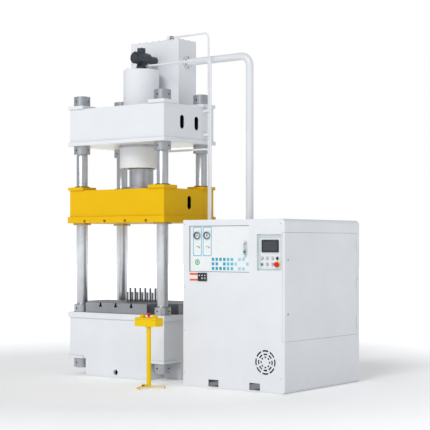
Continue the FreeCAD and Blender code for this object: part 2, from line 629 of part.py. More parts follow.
def build_valve():
    """Cast prefill valve on the cylinder, open to the tank behind it, and its cap screws."""
    z = "valve_body_z"
    stem = turned("valve_stem", [
        ("0", "barrel_high"), ("valve_foot_radius", "barrel_high"),
        ("valve_foot_radius", "barrel_high + valve_foot_height"),
        ("valve_waist_radius", "valve_waist_z"), ("valve_waist_radius", z), ("0", z)])
    barrel = rod("valve_barrel", "valve_body_radius", ("0", "-valve_body_half", z),
                 "2 * valve_body_half", "y")
    neck = rod("valve_neck", "valve_neck_radius", ("0", "0", z), f"valve_neck_top - {z}")
    spout = rod("valve_spout", "valve_neck_radius", ("0", "0", z), "tank_front_y", "y")
    boss = rod("valve_boss", "valve_boss_radius", ("0", "0", "valve_boss_z"), "valve_boss_end",
               "x")
    down = rod("valve_down_port", "valve_port_radius", ("0", "0", "barrel_high - 1"),
               f"{z} - barrel_high + 1")
    across = rod("valve_cross_port", "valve_port_radius", ("0", "-valve_body_half / 2", z),
                 "tank_front_y + valve_body_half", "y")
    feed = rod("valve_feed", "pressure_radius - pipe_wall", ("0", "0", "valve_boss_z"),
               "valve_boss_end + 1", "x")
    holes = valve_screws("valve_screw_hole", "screw_radius + nut_fit", "-screw_reach - 1", "1")
    node("prefill_valve", cut("prefill_valve", join("valve_cast", [stem, barrel, neck, spout,
                              boss]), [down, across, feed] + holes))
    heads = valve_screws("valve_screw_head", "screw_head_radius", "0", "screw_head_height")
    shanks = valve_screws("valve_screw_shank", "screw_radius", "-screw_reach", "0")
    node("valve_screws", gather("valve_screws", [join(f"valve_screw_{step}", pair) for step, pair
                                                 in enumerate(zip(heads, shanks))]))


def valve_screws(name, radius, low, high):
    """Make bars for the screws on the valve's front cover and on its neck."""
    length = f"({high}) - ({low})"
    front = [rod(f"{name}_front_{step}", radius,
                 (x, f"-valve_body_half - ({high})", f"valve_body_z + {z}"), length, "y")
             for step, x, z in circle_places("cover_screw_circle", 8, 22.5)]
    top = [rod(f"{name}_top_{step}", radius, (x, y, f"valve_neck_top + {low}"), length)
           for step, x, y in circle_places("neck_screw_circle", 4, 45.0)]
    return front + top


def build_tank():
    """Prefill tank of folded plate behind the cylinder, and its cover with the pilot elbow."""
    under_cover = "tank_top - tank_cover_height"
    outer = block("tank_outer", both("tank_half_length"), ("tank_front_y", "tank_back_y"),
                  ("crown_top", under_cover))
    inner = block("tank_inner", both("tank_half_length - tank_wall"),
                  ("tank_front_y + tank_wall", "tank_back_y - tank_wall"),
                  ("crown_top + tank_wall", under_cover + " + 1"))
    mouth = rod("tank_mouth", "valve_port_radius", ("0", "tank_front_y - 1", "valve_body_z"),
                "tank_wall + 2", "y")
    outlet = rod("tank_outlet", "suction_radius - suction_wall", (
        "tank_half_length - tank_wall - 1", "suction_y", "suction_z"), "tank_wall + 2", "x")
    node("prefill_tank", cut("prefill_tank", outer, [inner, mouth, outlet]))
    lid = block("tank_lid", both("tank_half_length"), ("tank_front_y", "tank_back_y"),
                (under_cover, "tank_top"))
    elbow = block("tank_elbow", ("pilot_start_x - elbow_width", "pilot_start_x"),
                  middle("pilot_y", "elbow_width"), (under_cover, "tank_top + elbow_height"))
    duct = rod("tank_elbow_duct", "pilot_radius - pipe_wall", (
        "pilot_start_x - elbow_width / 2", "pilot_y", "pilot_z"), "elbow_width", "x")
    node("tank_cover", cut("tank_cover", join("tank_cover_welded", [lid, elbow]), [duct]))


def build_pipes():
    """Suction pipe with its flanges, the three thin pipes and the clamps that hold them."""
    run = pipe("suction_run", [place("tank_half_length", "suction_y", "suction_z"),
                               place("suction_x", "suction_y", "suction_z"),
                               place("suction_x", "suction_y", "cabinet_height")],
               amount("suction_radius"), amount("suction_wall"), amount("suction_bend"))
    flanges = [tube("suction_flange_tank", "suction_flange_radius",
                    "suction_radius - suction_wall", ("tank_half_length", "suction_y",
                    "suction_z"), "suction_flange_height", "x"),
               tube("suction_flange_roof", "suction_flange_radius",
                    "suction_radius - suction_wall", ("suction_x", "suction_y",
                    "cabinet_height"), "suction_flange_height")]
    node("suction_pipe", join("suction_pipe", [run] + flanges))
    for name, radius, start, corner_x, low in (
            ("pilot_pipe", "pilot_radius", ("pilot_start_x", "pilot_y", "pilot_z"),
             "frame_half_length + pilot_gap", "pilot_end_z"),
            ("pressure_pipe", "pressure_radius", ("valve_boss_end", "0", "valve_boss_z"),
             "pressure_x", "pressure_end_z"),
            ("return_pipe", "return_radius", ("return_boss_end", "return_y", "return_z"),
             "return_x", "return_end_z")):
        points = [place(*start), place(corner_x, start[1], start[2]),
                  place(corner_x, start[1], low), place("cabinet_left", start[1], low)]
        node(name, pipe(name, points, amount(radius), amount("pipe_wall"), amount("pipe_bend")))
    clamps = []
    for index, z in enumerate(("crown_bottom + crown_clamp_low",
                               "crown_top - crown_clamp_drop")):
        body = block(f"crown_clamp_{index}", ("frame_half_length",
                     "frame_half_length + pilot_gap + clamp_rim"),
                     middle("pilot_y", "2 * clamp_rim"), (z, f"{z} + clamp_height"))
        hole = rod(f"crown_clamp_hole_{index}", "pilot_radius + nut_fit",
                   ("frame_half_length + pilot_gap", "pilot_y", f"{z} - 1"),
                   "clamp_height + 2")
        clamps.append(cut(f"clamp_{index}", body, [hole]))
    for index, z in enumerate(("return_end_z + wall_clamp_rise",
                               "cabinet_height - wall_clamp_drop"), start=2):
        body = block(f"wall_clamp_{index}", ("return_x - clamp_rim", "cabinet_left"),
                     ("-clamp_rim", "return_y + clamp_rim"), (z, f"{z} + clamp_height"))
        holes = [rod(f"wall_clamp_pressure_{index}", "pressure_radius + nut_fit",
                     ("pressure_x", "0", f"{z} - 1"), "clamp_height + 2"),
                 rod(f"wall_clamp_return_{index}", "return_radius + nut_fit",
                     ("return_x", "return_y", f"{z} - 1"), "clamp_height + 2")]
        clamps.append(cut(f"clamp_{index}", body, holes))
    node("pipe_clamps", gather("pipe_clamps", clamps))


# ---------------------------------------------------------------- power unit cabinet

def rounded_case(name, inset, front, back):
    """Make the cabinet's outer or inner form: a block with two rounded edges and a round back."""
    body = doc.addObject("PartDesign::Body", name)
    sketch = body.newObject("Sketcher::SketchObject", name + "_outline")
    sketch.AttachmentSupport = [(origin_plane(body, "XZ_Plane"), "")]
    sketch.MapMode = "FlatFace"
    left, right = f"cabinet_left + {inset}", f"cabinet_right - {inset}"
    low, high = inset, f"cabinet_height - {inset}"
    outline(sketch, [(left, low), (right, low), (right, high), (left, high)])
    pad = body.newObject("PartDesign::Pad", name + "_pad")
    pad.Profile = sketch
    bind(pad, "Length", f"({back}) - ({front})")
    pad.Reversed = True
    sketch.Visibility = False
    settle(body, "0", front, "0")
    doc.recompute()
    edges = []
    for index, edge in enumerate(pad.Shape.Edges, start=1):
        centre = edge.BoundBox.Center
        along = edge.BoundBox.YLength > 1
        on_right = centre.x > amount(right) - 1
        at_back = centre.y > amount(back) - amount(front) - 1
        if (along and on_right) or (at_back and not along and centre.z > amount(low) + 1):
            edges.append(f"Edge{index}")
    fillet = body.newObject("PartDesign::Fillet", name + "_round")
    fillet.Base = (pad, edges)
    bind(fillet, "Radius", f"cabinet_round - {inset}")
    body.Tip = fillet
    return body


def hinge_levels():
    """Give each door hinge's height."""
    for index, share in enumerate((0.12, 0.5, 0.88)):
        yield index, f"door_low + {share} * (door_high - door_low)"


def build_cabinet():
    """Plinth with fork pockets, folded shell, front panel and hinged side door."""
    behind = "cabinet_front_y + sheet"
    inner_x = ("cabinet_left + sheet", "cabinet_right - cabinet_round")
    inner_y = (behind, "cabinet_back_y - cabinet_round")
    solid = block("plinth_solid", inner_x, inner_y, ("0", "plinth_height"))
    forks = [block(f"plinth_fork_{side}", middle(x, "fork_width"),
                   (f"{behind} - 1", "cabinet_back_y + 1"), ("fork_low", "fork_high"))
             for side, x in (("left", "fork_left_x"), ("right", "fork_right_x"))]
    half = "fork_width / 2 + plinth_plate"
    bays = [block(f"plinth_bay_{index}", (low, high), (f"{behind} + plinth_plate",
                  "cabinet_back_y - cabinet_round - plinth_plate"),
                  ("-1", "plinth_height - plinth_plate"))
            for index, (low, high) in enumerate((
                ("cabinet_left + sheet + plinth_plate", f"fork_left_x - {half}"),
                (f"fork_left_x + {half}", f"fork_right_x - {half}"),
                (f"fork_right_x + {half}", "cabinet_right - cabinet_round - plinth_plate")))]
    node("cabinet_plinth", cut("cabinet_plinth", solid, forks + bays))

    outer = rounded_case("case_outer", "0", "cabinet_front_y", "cabinet_back_y")
    inner = rounded_case("case_inner", "sheet", "cabinet_front_y - 1", "cabinet_back_y - sheet")
    front_slice = block("case_front_slice", ("cabinet_left - 1", "cabinet_right + 1"),
                        ("cabinet_front_y - 1", behind), ("-1", "cabinet_height + 1"))
    open_floor = block("case_floor", ("cabinet_left + sheet", "cabinet_right - cabinet_round"),
                       ("cabinet_front_y - 1", "cabinet_back_y - cabinet_round"),
                       ("-1", "sheet + 1"))
    window = block("case_window", ("cabinet_right - cabinet_round - 1", "cabinet_right + 1"),
                   ("cabinet_front_y - 1", "door_back_y + 1"), ("door_low", "door_high"))
    inlet = rod("case_inlet", "suction_radius - suction_wall", ("suction_x", "suction_y",
                "cabinet_height - sheet - 1"), "sheet + 2")
    back_forks = [block(f"case_fork_{side}", middle(x, "fork_width"),
                        ("cabinet_back_y - cabinet_round", "cabinet_back_y + 1"),
                        ("fork_low", "fork_high"))
                  for side, x in (("left", "fork_left_x"), ("right", "fork_right_x"))]
    shell = cut("shell_folded", outer,
                [inner, front_slice, open_floor, window, inlet] + back_forks)
    fixed, moving = [shell], []
    axis_x, axis_y = "cabinet_right + hinge_radius", "door_back_y"
    for index, z in hinge_levels():
        leaf_x = ("cabinet_right", "cabinet_right + hinge_leaf")
        tall = middle(z, "3 * hinge_length")
        pin = rod(f"hinge_pin_{index}", "hinge_pin_radius", (axis_x, axis_y, tall[0]),
                  "3 * hinge_length")
        knuckles = [rod(f"hinge_low_{index}", "hinge_radius", (axis_x, axis_y, tall[0]),
                        "hinge_length - hinge_gap"),
                    rod(f"hinge_high_{index}", "hinge_radius", (axis_x, axis_y,
                        f"{z} + hinge_length / 2 + hinge_gap"), "hinge_length - hinge_gap")]
        leaves = [block(f"hinge_leaf_{end}_{index}", leaf_x,
                        (axis_y, "door_back_y + hinge_leaf_width"), (low, high))
                  for end, low, high in (("low", tall[0], f"{z} - hinge_length / 2 - hinge_gap"),
                                         ("high", f"{z} + hinge_length / 2 + hinge_gap", tall[1]))]
        bridge = block(f"hinge_bridge_{index}", leaf_x,
                       ("door_back_y + hinge_radius + door_gap",
                        "door_back_y + hinge_leaf_width"), tall)
        fixed += [pin, bridge] + knuckles + leaves
        barrel = rod(f"door_knuckle_{index}", "hinge_radius", (axis_x, axis_y,
                     f"{z} - hinge_length / 2"), "hinge_length")
        leaf = block(f"door_leaf_{index}", leaf_x, ("door_back_y - hinge_leaf_width", axis_y),
                     middle(z, "hinge_length"))
        moving += [barrel, leaf]
    node("cabinet_shell", join("cabinet_shell", fixed))

    build_front(outer)
    low, high = "door_low + door_gap", "door_high - door_gap"
    skin_x = ("cabinet_right - sheet", "cabinet_right")
    lip_x = ("cabinet_right - door_lip", "cabinet_right")
    y = ("cabinet_front_y", "door_back_y - 1")
    panels = [block("door_skin", skin_x, y, (low, high)),
              block("door_return", ("cabinet_right - door_wrap + door_gap", "cabinet_right"),
                    ("cabinet_front_y", behind), (low, high)),
              block("door_lip_low", lip_x, y, (low, f"{low} + sheet")),
              block("door_lip_high", lip_x, y, (f"{high} - sheet", high))]
    bores = [rod(f"door_bore_{index}", "hinge_pin_radius + hinge_fit", (axis_x, axis_y,
                 f"{z} - hinge_length / 2 - 1"), "hinge_length + 2")
             for index, z in hinge_levels()]
    node("side_door", cut("side_door", join("door_folded", panels + moving), bores))


def build_front(case):
    """Front panel with its board window, operator recess, fan grille and fork holes."""
    y = ("cabinet_front_y", "cabinet_front_y + sheet")
    past = ("cabinet_front_y - 1", "cabinet_front_y + sheet + 1")
    blank = shared("front_blank", case, block("front_slice", ("cabinet_left",
                   "cabinet_right"), y, ("0", "cabinet_height")))
    notch = block("front_notch", ("cabinet_right - door_wrap", "cabinet_right + 1"), past,
                  ("door_low", "door_high"))
    window = block("front_window", ("board_left", "board_right"), past,
                   ("board_low", "board_high"))
    recess = block("front_recess", ("tray_left", "tray_right"), past, ("tray_low", "tray_high"))
    forks = [block(f"front_fork_{side}", middle(x, "fork_width"), past,
                   ("fork_low", "fork_high"))
             for side, x in (("left", "fork_left_x"), ("right", "fork_right_x"))]
    rings = [tube(f"grille_{ring}", f"{ring} + grille_slot / 2", f"{ring} - grille_slot / 2",
                  ("fan_x", "cabinet_front_y - 1", "fan_z"), "sheet + 2", "y")
             for ring in ("grille_outer", "grille_middle", "grille_inner")]
    spokes = []
    for step in range(4):
        spoke = doc.addObject("Part::Box", f"grille_spoke_{step}")
        bind(spoke, "Length", "2 * fan_ring_radius")
        bind(spoke, "Width", "sheet + 4")
        bind(spoke, "Height", "grille_spoke")
        angle = math.radians(22.5 + 45.0 * step)
        cosine, sine = f"{math.cos(angle):.9f}", f"{math.sin(angle):.9f}"
        spokes.append(settle(
            spoke, f"fan_x - {cosine} * fan_ring_radius + ({sine}) * grille_spoke / 2",
            "cabinet_front_y - 2",
            f"fan_z - {sine} * fan_ring_radius - ({cosine}) * grille_spoke / 2",
            Rotation(Vector(0, -1, 0), math.degrees(angle))))
    slots = cut("grille_slots", join("grille_rings", rings), spokes)
    node("cabinet_front", cut("cabinet_front", blank, [notch, window, recess, slots] + forks))


# ---------------------------------------------------------------- mimic board

def build_board():
    """Mimic board behind the window, with two gauges and the level tube on its face."""
    face = "cabinet_front_y + board_back"
    pan = block("board_pan", both_ends("board_left", "board_right", "board_margin"),
                ("cabinet_front_y + sheet", f"{face} + board_height"),
                both_ends("board_low", "board_high", "board_margin"))
    inside = block("board_inside", both_ends("board_left", "board_right", "sheet"),
                   ("cabinet_front_y", face), both_ends("board_low", "board_high", "sheet"))
    holes = [rod(f"board_hole_{side}", "needle_pin_radius + 1", (x, f"{face} - 1", "gauge_z"),
                 "board_height + 2", "y") for side, x in GAUGES]
    node("mimic_board", cut("mimic_board", pan, [inside] + holes))
    front = f"{face} - gauge_depth"
    floor = f"{face} - gauge_floor"
    cases = []
    for side, x in GAUGES:
        wall = rod(f"gauge_case_{side}", "gauge_radius", (x, front, "gauge_z"), "gauge_depth",
                   "y")
        room = rod(f"gauge_room_{side}", "gauge_radius - gauge_wall", (x, f"{front} - 1",
                   "gauge_z"), "gauge_depth - gauge_floor + 1", "y")
        bore = rod(f"gauge_bore_{side}", "needle_pin_radius + nut_fit", (x, front, "gauge_z"),
                   "gauge_depth + 1", "y")
        cases.append(cut(f"gauge_{side}", wall, [room, bore]))
        level = f"{floor} - needle_lift - needle_height"
        pointer = block(f"needle_bar_{side}", middle(x, "needle_width"),
                        (level, f"{level} + needle_height"), ("gauge_z - needle_length / 3",
                                                              "gauge_z + needle_length"))
        hub = rod(f"needle_hub_{side}", "needle_hub_radius", (x, level, "gauge_z"),
                  "needle_height", "y")
        pin = rod(f"needle_pin_{side}", "needle_pin_radius", (x, level, "gauge_z"),
                  "needle_height + needle_lift + gauge_floor", "y")
        node(f"gauge_needle_{side}", join(f"needle_{side}", [pointer, hub, pin]))
    node("gauge_cases", gather("gauge_cases", cases))

    middle_y = f"{face} - level_depth / 2"
    low, high = "level_low + level_block", "level_high - level_block"
    holders = [block(f"level_holder_{end}", middle("level_x", "level_width"),
                     (f"{face} - level_depth", face), z)
               for end, z in (("low", ("level_low", low)), ("high", (high, "level_high")))]
    glass = tube("level_glass", "level_radius", "level_radius - level_wall",
                 ("level_x", middle_y, low), f"{high} - ({low})")
    node("level_tube", join("level_tube", holders + [glass]))
    node("level_float", rod("level_float", "float_radius", (
        "level_x", middle_y, "float_z - float_height / 2"), "float_height"))


# ---------------------------------------------------------------- operator panel

def build_panel():
    """Recessed operator tray with screen, six push buttons, a selector and a stop button."""
    behind = "cabinet_front_y + sheet"
    floor = f"{behind} + tray_depth"
    outer = block("tray_outer", ("tray_left - sheet", "tray_right + sheet"),
                  (behind, f"{floor} + sheet"), ("tray_low - sheet", "tray_high + sheet"))
    room = block("tray_room", ("tray_left", "tray_right"), (f"{behind} - 1", floor),
                 ("tray_low", "tray_high"))
    rings, holes = [], []
    for name, x, z, kind in panel_places():
        radius = "stop_ring_radius" if kind == "stop" else "ring_radius"
        rings.append(tube(f"{name}_ring", radius, "cap_radius + cap_slack",
                          (x, f"{floor} - ring_height", z), "ring_height", "y"))
        holes.append(rod(f"{name}_hole", "stem_radius + cap_slack", (x, f"{floor} - 1", z),
                         "sheet + 2", "y"))
    tray = cut("tray_folded", outer, [room])
    node("operator_tray", cut("operator_tray", join("tray_welded", [tray] + rings), holes))
    front = f"{floor} - screen_depth"
    node("operator_screen", cut("operator_screen", block(
        "screen_case", middle("screen_x", "screen_width"), (front, floor),
        middle("screen_z", "screen_height")), [block(
            "screen_window", middle("screen_x", "screen_width - 2 * screen_rim"),
            (f"{front} - 1", f"{front} + screen_recess"),
            middle("screen_z", "screen_height - 2 * screen_rim"))]))
    for name, x, z, kind in panel_places():
        build_actuator(name, x, z, kind, floor)


def panel_places():
    """Give each actuator's name, place and kind, four across and two down."""
    names = (("button_start", "button_hold", "button_reset", "mode_selector"),
             ("button_up", "button_down", "button_eject", "panel_stop"))
    for line, z in zip(names, ("button_high_z", "button_low_z")):
        for column, name in enumerate(line):
            kind = {"mode_selector": "selector", "panel_stop": "stop"}.get(name, "push")
            yield name, f"button_left_x + {column} * button_pitch", z, kind


def build_actuator(name, x, z, kind, floor):
    """Make one actuator on the tray: a cap, knob or mushroom head on its stem."""
    back = f"{floor} - cap_lift"
    stem = rod(f"{name}_stem", "stem_radius", (x, back, z), "stem_length", "y")
    cap = rod(f"{name}_cap", "cap_radius", (x, f"{back} - cap_height", z), "cap_height", "y")
    pieces = [stem, cap]
    if kind == "selector":
        front = f"{back} - cap_height - knob_bar_height"
        pieces.append(block(f"{name}_bar", middle(x, "knob_bar_width"),
                            (front, f"{back} - cap_height"), middle(z, "knob_bar_length")))
    if kind == "stop":
        pieces.append(rod(f"{name}_neck", "cap_radius", (x, f"{back} - stop_reach", z),
                          "stop_reach", "y"))
        pieces.append(rod(f"{name}_head", "stop_head_radius", (x, f"{back} - stop_reach", z),
                          "stop_head_height", "y"))
    node(name, join(name, pieces))


# ---------------------------------------------------------------- inside the cabinet

def build_fan():
    """Cooling fan behind the grille: a ring with a spider and motor, and the rotor."""
    behind = "cabinet_front_y + sheet"
    back = f"{behind} + fan_depth"
    ring = tube("fan_ring", "fan_ring_radius", "fan_ring_radius - fan_ring_wall",
                ("fan_x", behind, "fan_z"), "fan_depth", "y")
    arms = [block("fan_arm_level", middle("fan_x", "2 * fan_ring_radius - fan_ring_wall"),
                  (f"{back} - fan_spider", back), middle("fan_z", "3 * fan_spider")),
            block("fan_arm_upright", middle("fan_x", "3 * fan_spider"),
                  (f"{back} - fan_spider", back), middle(
                      "fan_z", "2 * fan_ring_radius - fan_ring_wall"))]
    motor = rod("fan_motor", "fan_motor_radius", ("fan_x", f"{back} - fan_spider", "fan_z"),
                "fan_motor_length", "y")
    bore = rod("fan_bore", "fan_shaft_radius + shaft_fit", ("fan_x",
               f"{back} - fan_spider - 1", "fan_z"), "fan_motor_length - fan_end_gap", "y")
    node("fan_housing", cut("fan_housing", join("fan_frame", [ring, motor] + arms), [bore]))
    hub_back = f"{back} - fan_spider - fan_end_gap"
    hub = rod("fan_hub", "fan_hub_radius", ("fan_x", f"{behind} + fan_spider", "fan_z"),
              "fan_depth - 2 * fan_spider - fan_end_gap", "y")
    shaft = rod("fan_shaft", "fan_shaft_radius", ("fan_x", hub_back, "fan_z"),
                "fan_motor_length - fan_spider", "y")
    blades = []
    pitch = Rotation(Vector(1, 0, 0), 40)
    for step in range(7):
        angle = 360.0 * step / 7
        cosine = f"{math.cos(math.radians(angle)):.9f}"
        sine = f"({math.sin(math.radians(angle)):.9f})"
        blade = doc.addObject("Part::Box", f"fan_blade_{step}")
        bind(blade, "Length", "fan_blade_radius - fan_hub_radius + fan_blade_root")
        bind(blade, "Width", "fan_blade_thick")
        bind(blade, "Height", "fan_blade_chord")
        inset = "(fan_hub_radius - fan_blade_root)"
        half = "0.38 * fan_blade_chord"
        settle(blade, f"fan_x + {cosine} * {inset} - {sine} * {half}",
               f"{hub_back} - 2 * fan_end_gap",
               f"fan_z - {sine} * {inset} - {cosine} * {half}",
               Rotation(Vector(0, 1, 0), angle).multiply(pitch))
        blades.append(blade)
    node("fan_rotor", join("fan_rotor", [hub, shaft] + blades))


def build_pump_set():
    """Oil tank on the plinth, with motor, coupling shaft, gear pump and valve block on it."""
    top = "plinth_height + oil_height"
    outer = block("oil_outer", ("oil_left", "oil_right"), ("oil_front_y", "oil_back_y"),
                  ("plinth_height", top))
    inner = block("oil_inner", ("oil_left + oil_wall", "oil_right - oil_wall"),
                  ("oil_front_y + oil_wall", "oil_back_y - oil_wall"),
                  ("plinth_height + oil_wall", f"{top} - oil_wall"))
    filler = rod("oil_filler", "valve_neck_radius", ("oil_right - filler_inset",
                 "oil_front_y + filler_inset",
                 f"{top} - oil_wall - 1"), "oil_wall + 2")
    node("oil_tank", cut("oil_tank", outer, [inner, filler]))
    shaft_start = "motor_right - shaft_grip"
    body = rod("motor_body", "motor_radius", ("motor_left", "motor_y", "motor_z"),
               "motor_right - motor_left", "x")
    feet = block("motor_feet", ("motor_left + motor_foot_inset",
                 "motor_right - motor_foot_inset"),
                 middle("motor_y", "2 * motor_radius"),
                 (top, "motor_z - motor_radius / 2"))
    box = block("motor_terminal_box", ("motor_left + terminal_start",
                "motor_left + terminal_start + terminal_width"),
                middle("motor_y", "terminal_width"),
                ("motor_z", "motor_z + motor_radius + terminal_rise"))
    bore = rod("motor_bore", "shaft_radius + shaft_fit", (shaft_start, "motor_y", "motor_z"),
               "shaft_grip + 1", "x")
    node("pump_motor", cut("pump_motor", join("motor_cast", [body, feet, box]), [bore]))
    shaft = rod("motor_shaft_bar", "shaft_radius", (f"{shaft_start} + 1", "motor_y", "motor_z"),
                "pump_left + shaft_grip - 1 - motor_right + shaft_grip - 1", "x")
    hub = rod("motor_coupling", "coupling_radius", ("coupling_left", "motor_y", "motor_z"),
              "coupling_right - coupling_left", "x")
    node("motor_shaft", join("motor_shaft", [shaft, hub]))
    pump = block("pump_block", ("pump_left", "pump_right"),
                 middle("motor_y", "2 * pump_half"), (top, "motor_z + pump_half"))
    pump_bore = rod("pump_bore", "shaft_radius + shaft_fit", ("pump_left - 1", "motor_y",
                    "motor_z"), "shaft_grip + 1", "x")
    node("gear_pump", cut("gear_pump", pump, [pump_bore]))
    valve_block = block("valve_block", ("block_left", "block_right"),
                        ("block_front_y", "block_back_y"), (top, f"{top} + block_height"))
    coils = [rod(f"valve_coil_{step}", "coil_radius", (
                 f"block_left + coil_start + {step} * coil_pitch",
                 "(block_front_y + block_back_y) / 2", f"{top} + block_height - 1"),
                 "coil_height") for step in range(4)]
    node("valve_manifold", join("valve_manifold", [valve_block] + coils))


# ---------------------------------------------------------------- two-hand control stand

def build_stand():
    """Two-hand control stand: tripod foot and post, box, two palm buttons and a stop."""
    foot_top = "foot_drop"
    post = rod("stand_post", "post_radius", ("stand_x", "stand_y", f"{foot_top} - foot_height"),
               f"stand_box_low - {foot_top} + foot_height")
    pieces = [post]
    for index, angle in enumerate((-90.0, 30.0, 150.0)):
        turn = Rotation(Vector(0, 0, 1), angle)
        cosine = f"{math.cos(math.radians(angle)):.9f}"
        sine = f"{math.sin(math.radians(angle)):.9f}"
        for part, start, length, low, high in (
                ("arm", "0", "foot_length", f"{foot_top} - foot_height", foot_top),
                ("toe", "foot_length - foot_height", "foot_height", "0", foot_top)):
            thing = doc.addObject("Part::Box", f"stand_{part}_{index}")
            bind(thing, "Length", length)
            bind(thing, "Width", "foot_width")
            bind(thing, "Height", f"({high}) - ({low})")
            pieces.append(settle(
                thing, f"stand_x + {cosine} * ({start}) + ({sine}) * foot_width / 2",
                f"stand_y + ({sine}) * ({start}) - ({cosine}) * foot_width / 2", low, turn))
    node("stand_frame", join("stand_frame", pieces))
    box_x = middle("stand_x", "stand_box_length")
    box_y = middle("stand_y", "stand_box_depth")
    outer = block("stand_box_outer", box_x, box_y, ("stand_box_low", "stand_box_high"))
    inner = block("stand_box_inner", middle("stand_x", "stand_box_length - 2 * stand_wall"),
                  middle("stand_y", "stand_box_depth - 2 * stand_wall"),
                  ("stand_box_low + stand_wall", "stand_box_high - stand_wall"))
    rings, holes = [], []
    top = "stand_box_high"
    for name, x, radius, reach in stand_places():
        rings.append(tube(f"{name}_collar", reach, f"{radius} + cap_slack",
                          (x, "stand_y", f"{top} - 1"), "palm_ring_height + 1"
                          if radius == "palm_radius" else "ring_height + 1"))
        holes.append(rod(f"{name}_box_hole", "stem_radius + cap_slack",
                         (x, "stand_y", f"{top} - stand_wall - 1"), "stand_wall + 2"))
    hollow = cut("stand_box_hollow", outer, [inner])
    node("stand_box", cut("stand_box", join("stand_box_welded", [hollow] + rings), holes))
    for name, x, radius, reach in stand_places():
        base = f"{top} + cap_lift"
        pieces = [rod(f"{name}_stem", "stem_radius", (x, "stand_y", f"{base} - stem_length"),
                      "stem_length"),
                  rod(f"{name}_cap", radius, (x, "stand_y", base), "palm_cap_height")]
        if radius == "cap_radius":
            pieces.append(rod(f"{name}_neck", radius, (x, "stand_y", base), "crest_reach"))
            pieces.append(rod(f"{name}_head", "crest_radius", (
                x, "stand_y", f"{base} + crest_reach - crest_height"), "crest_height"))
        node(name, join(name, pieces))


def stand_places():
    """Give each actuator on the stand: name, place, cap radius and collar radius."""
    return (("palm_button_left", "stand_x - palm_offset", "palm_radius", "palm_ring_radius"),
            ("palm_button_right", "stand_x + palm_offset", "palm_radius", "palm_ring_radius"),
            ("stand_stop", "stand_x", "cap_radius", "stop_ring_radius"))


# ---------------------------------------------------------------- build and write

def check_model():
    """Stop if any object failed or any finished sub-part has no sound shape."""
    failed = [f"{thing.Name} did not build: {thing.State}" for thing in doc.Objects
              if {"Invalid", "Error"} & set(thing.State)]
    failed += [f"{thing.Label} has no sound shape" for thing in NODES
               if thing.Shape.isNull() or not thing.Shape.isValid() or not thing.Shape.Solids]
    if failed:
        raise RuntimeError("; ".join(failed))


build_bed()
build_table()
build_columns()
build_crown()
build_cylinder()
build_ram()
build_slide()
build_cushion()
build_valve()
build_tank()
build_pipes()
build_cabinet()
build_board()
build_panel()
build_fan()
build_pump_set()
build_stand()
doc.recompute()
check_model()
os.makedirs("parts", exist_ok=True)
for finished in NODES:
    finished.Shape.exportStep(f"parts/{finished.Label}.step")
    print(f"{finished.Label}: {len(finished.Shape.Solids)} solids, "
          f"{finished.Shape.Volume / 1e6:.3f} litres")
print(len(NODES), "sub-parts")
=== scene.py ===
"""Looks of a four-column hydraulic press with its power unit and two-hand control stand.

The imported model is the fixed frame: +X to the right along the front, +Y to the back, +Z up, in
metres. This script dresses its nodes and adds the small fittings, prints and welds on them.
"""
import logging
import math
from dataclasses import dataclass, field
from enum import Enum
from functools import cache
from itertools import product
from typing import Iterator, Sequence

import bmesh
import bpy
from mathutils import Matrix, Vector


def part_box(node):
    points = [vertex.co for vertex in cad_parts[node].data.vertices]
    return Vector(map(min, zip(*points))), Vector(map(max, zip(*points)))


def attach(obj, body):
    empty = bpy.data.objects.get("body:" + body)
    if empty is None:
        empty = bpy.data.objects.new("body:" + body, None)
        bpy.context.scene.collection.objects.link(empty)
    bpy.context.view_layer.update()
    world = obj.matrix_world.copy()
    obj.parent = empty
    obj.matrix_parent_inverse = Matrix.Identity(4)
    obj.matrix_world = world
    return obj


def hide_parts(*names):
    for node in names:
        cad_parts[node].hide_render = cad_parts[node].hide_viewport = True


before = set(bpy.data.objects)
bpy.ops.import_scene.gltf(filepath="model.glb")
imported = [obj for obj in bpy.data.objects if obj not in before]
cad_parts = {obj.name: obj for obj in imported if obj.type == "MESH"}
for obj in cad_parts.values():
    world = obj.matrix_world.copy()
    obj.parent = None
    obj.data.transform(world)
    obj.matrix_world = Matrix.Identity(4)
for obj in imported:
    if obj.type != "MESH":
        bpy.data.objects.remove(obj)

LOG = logging.getLogger("hydraulic_press")
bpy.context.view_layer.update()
Colour = tuple[float, float, float]
Span = tuple[float, float]
Verts = list[bmesh.types.BMVert]
Outline = Sequence[tuple[float, float]]
CORNERS = ((-1, -1), (-1, 1), (1, -1), (1, 1))
COLUMN_CENTRE = (0.63, 0.365)
HOLLOW_HALF = (0.731, 0.462)
PUMP_AXIS_Z = 0.86
SUCTION_PLACE = (1.305, 0.415)
INK = 0.0004
AXIS = 1e-7


# ------------------------------------------------------------------ shader graphs

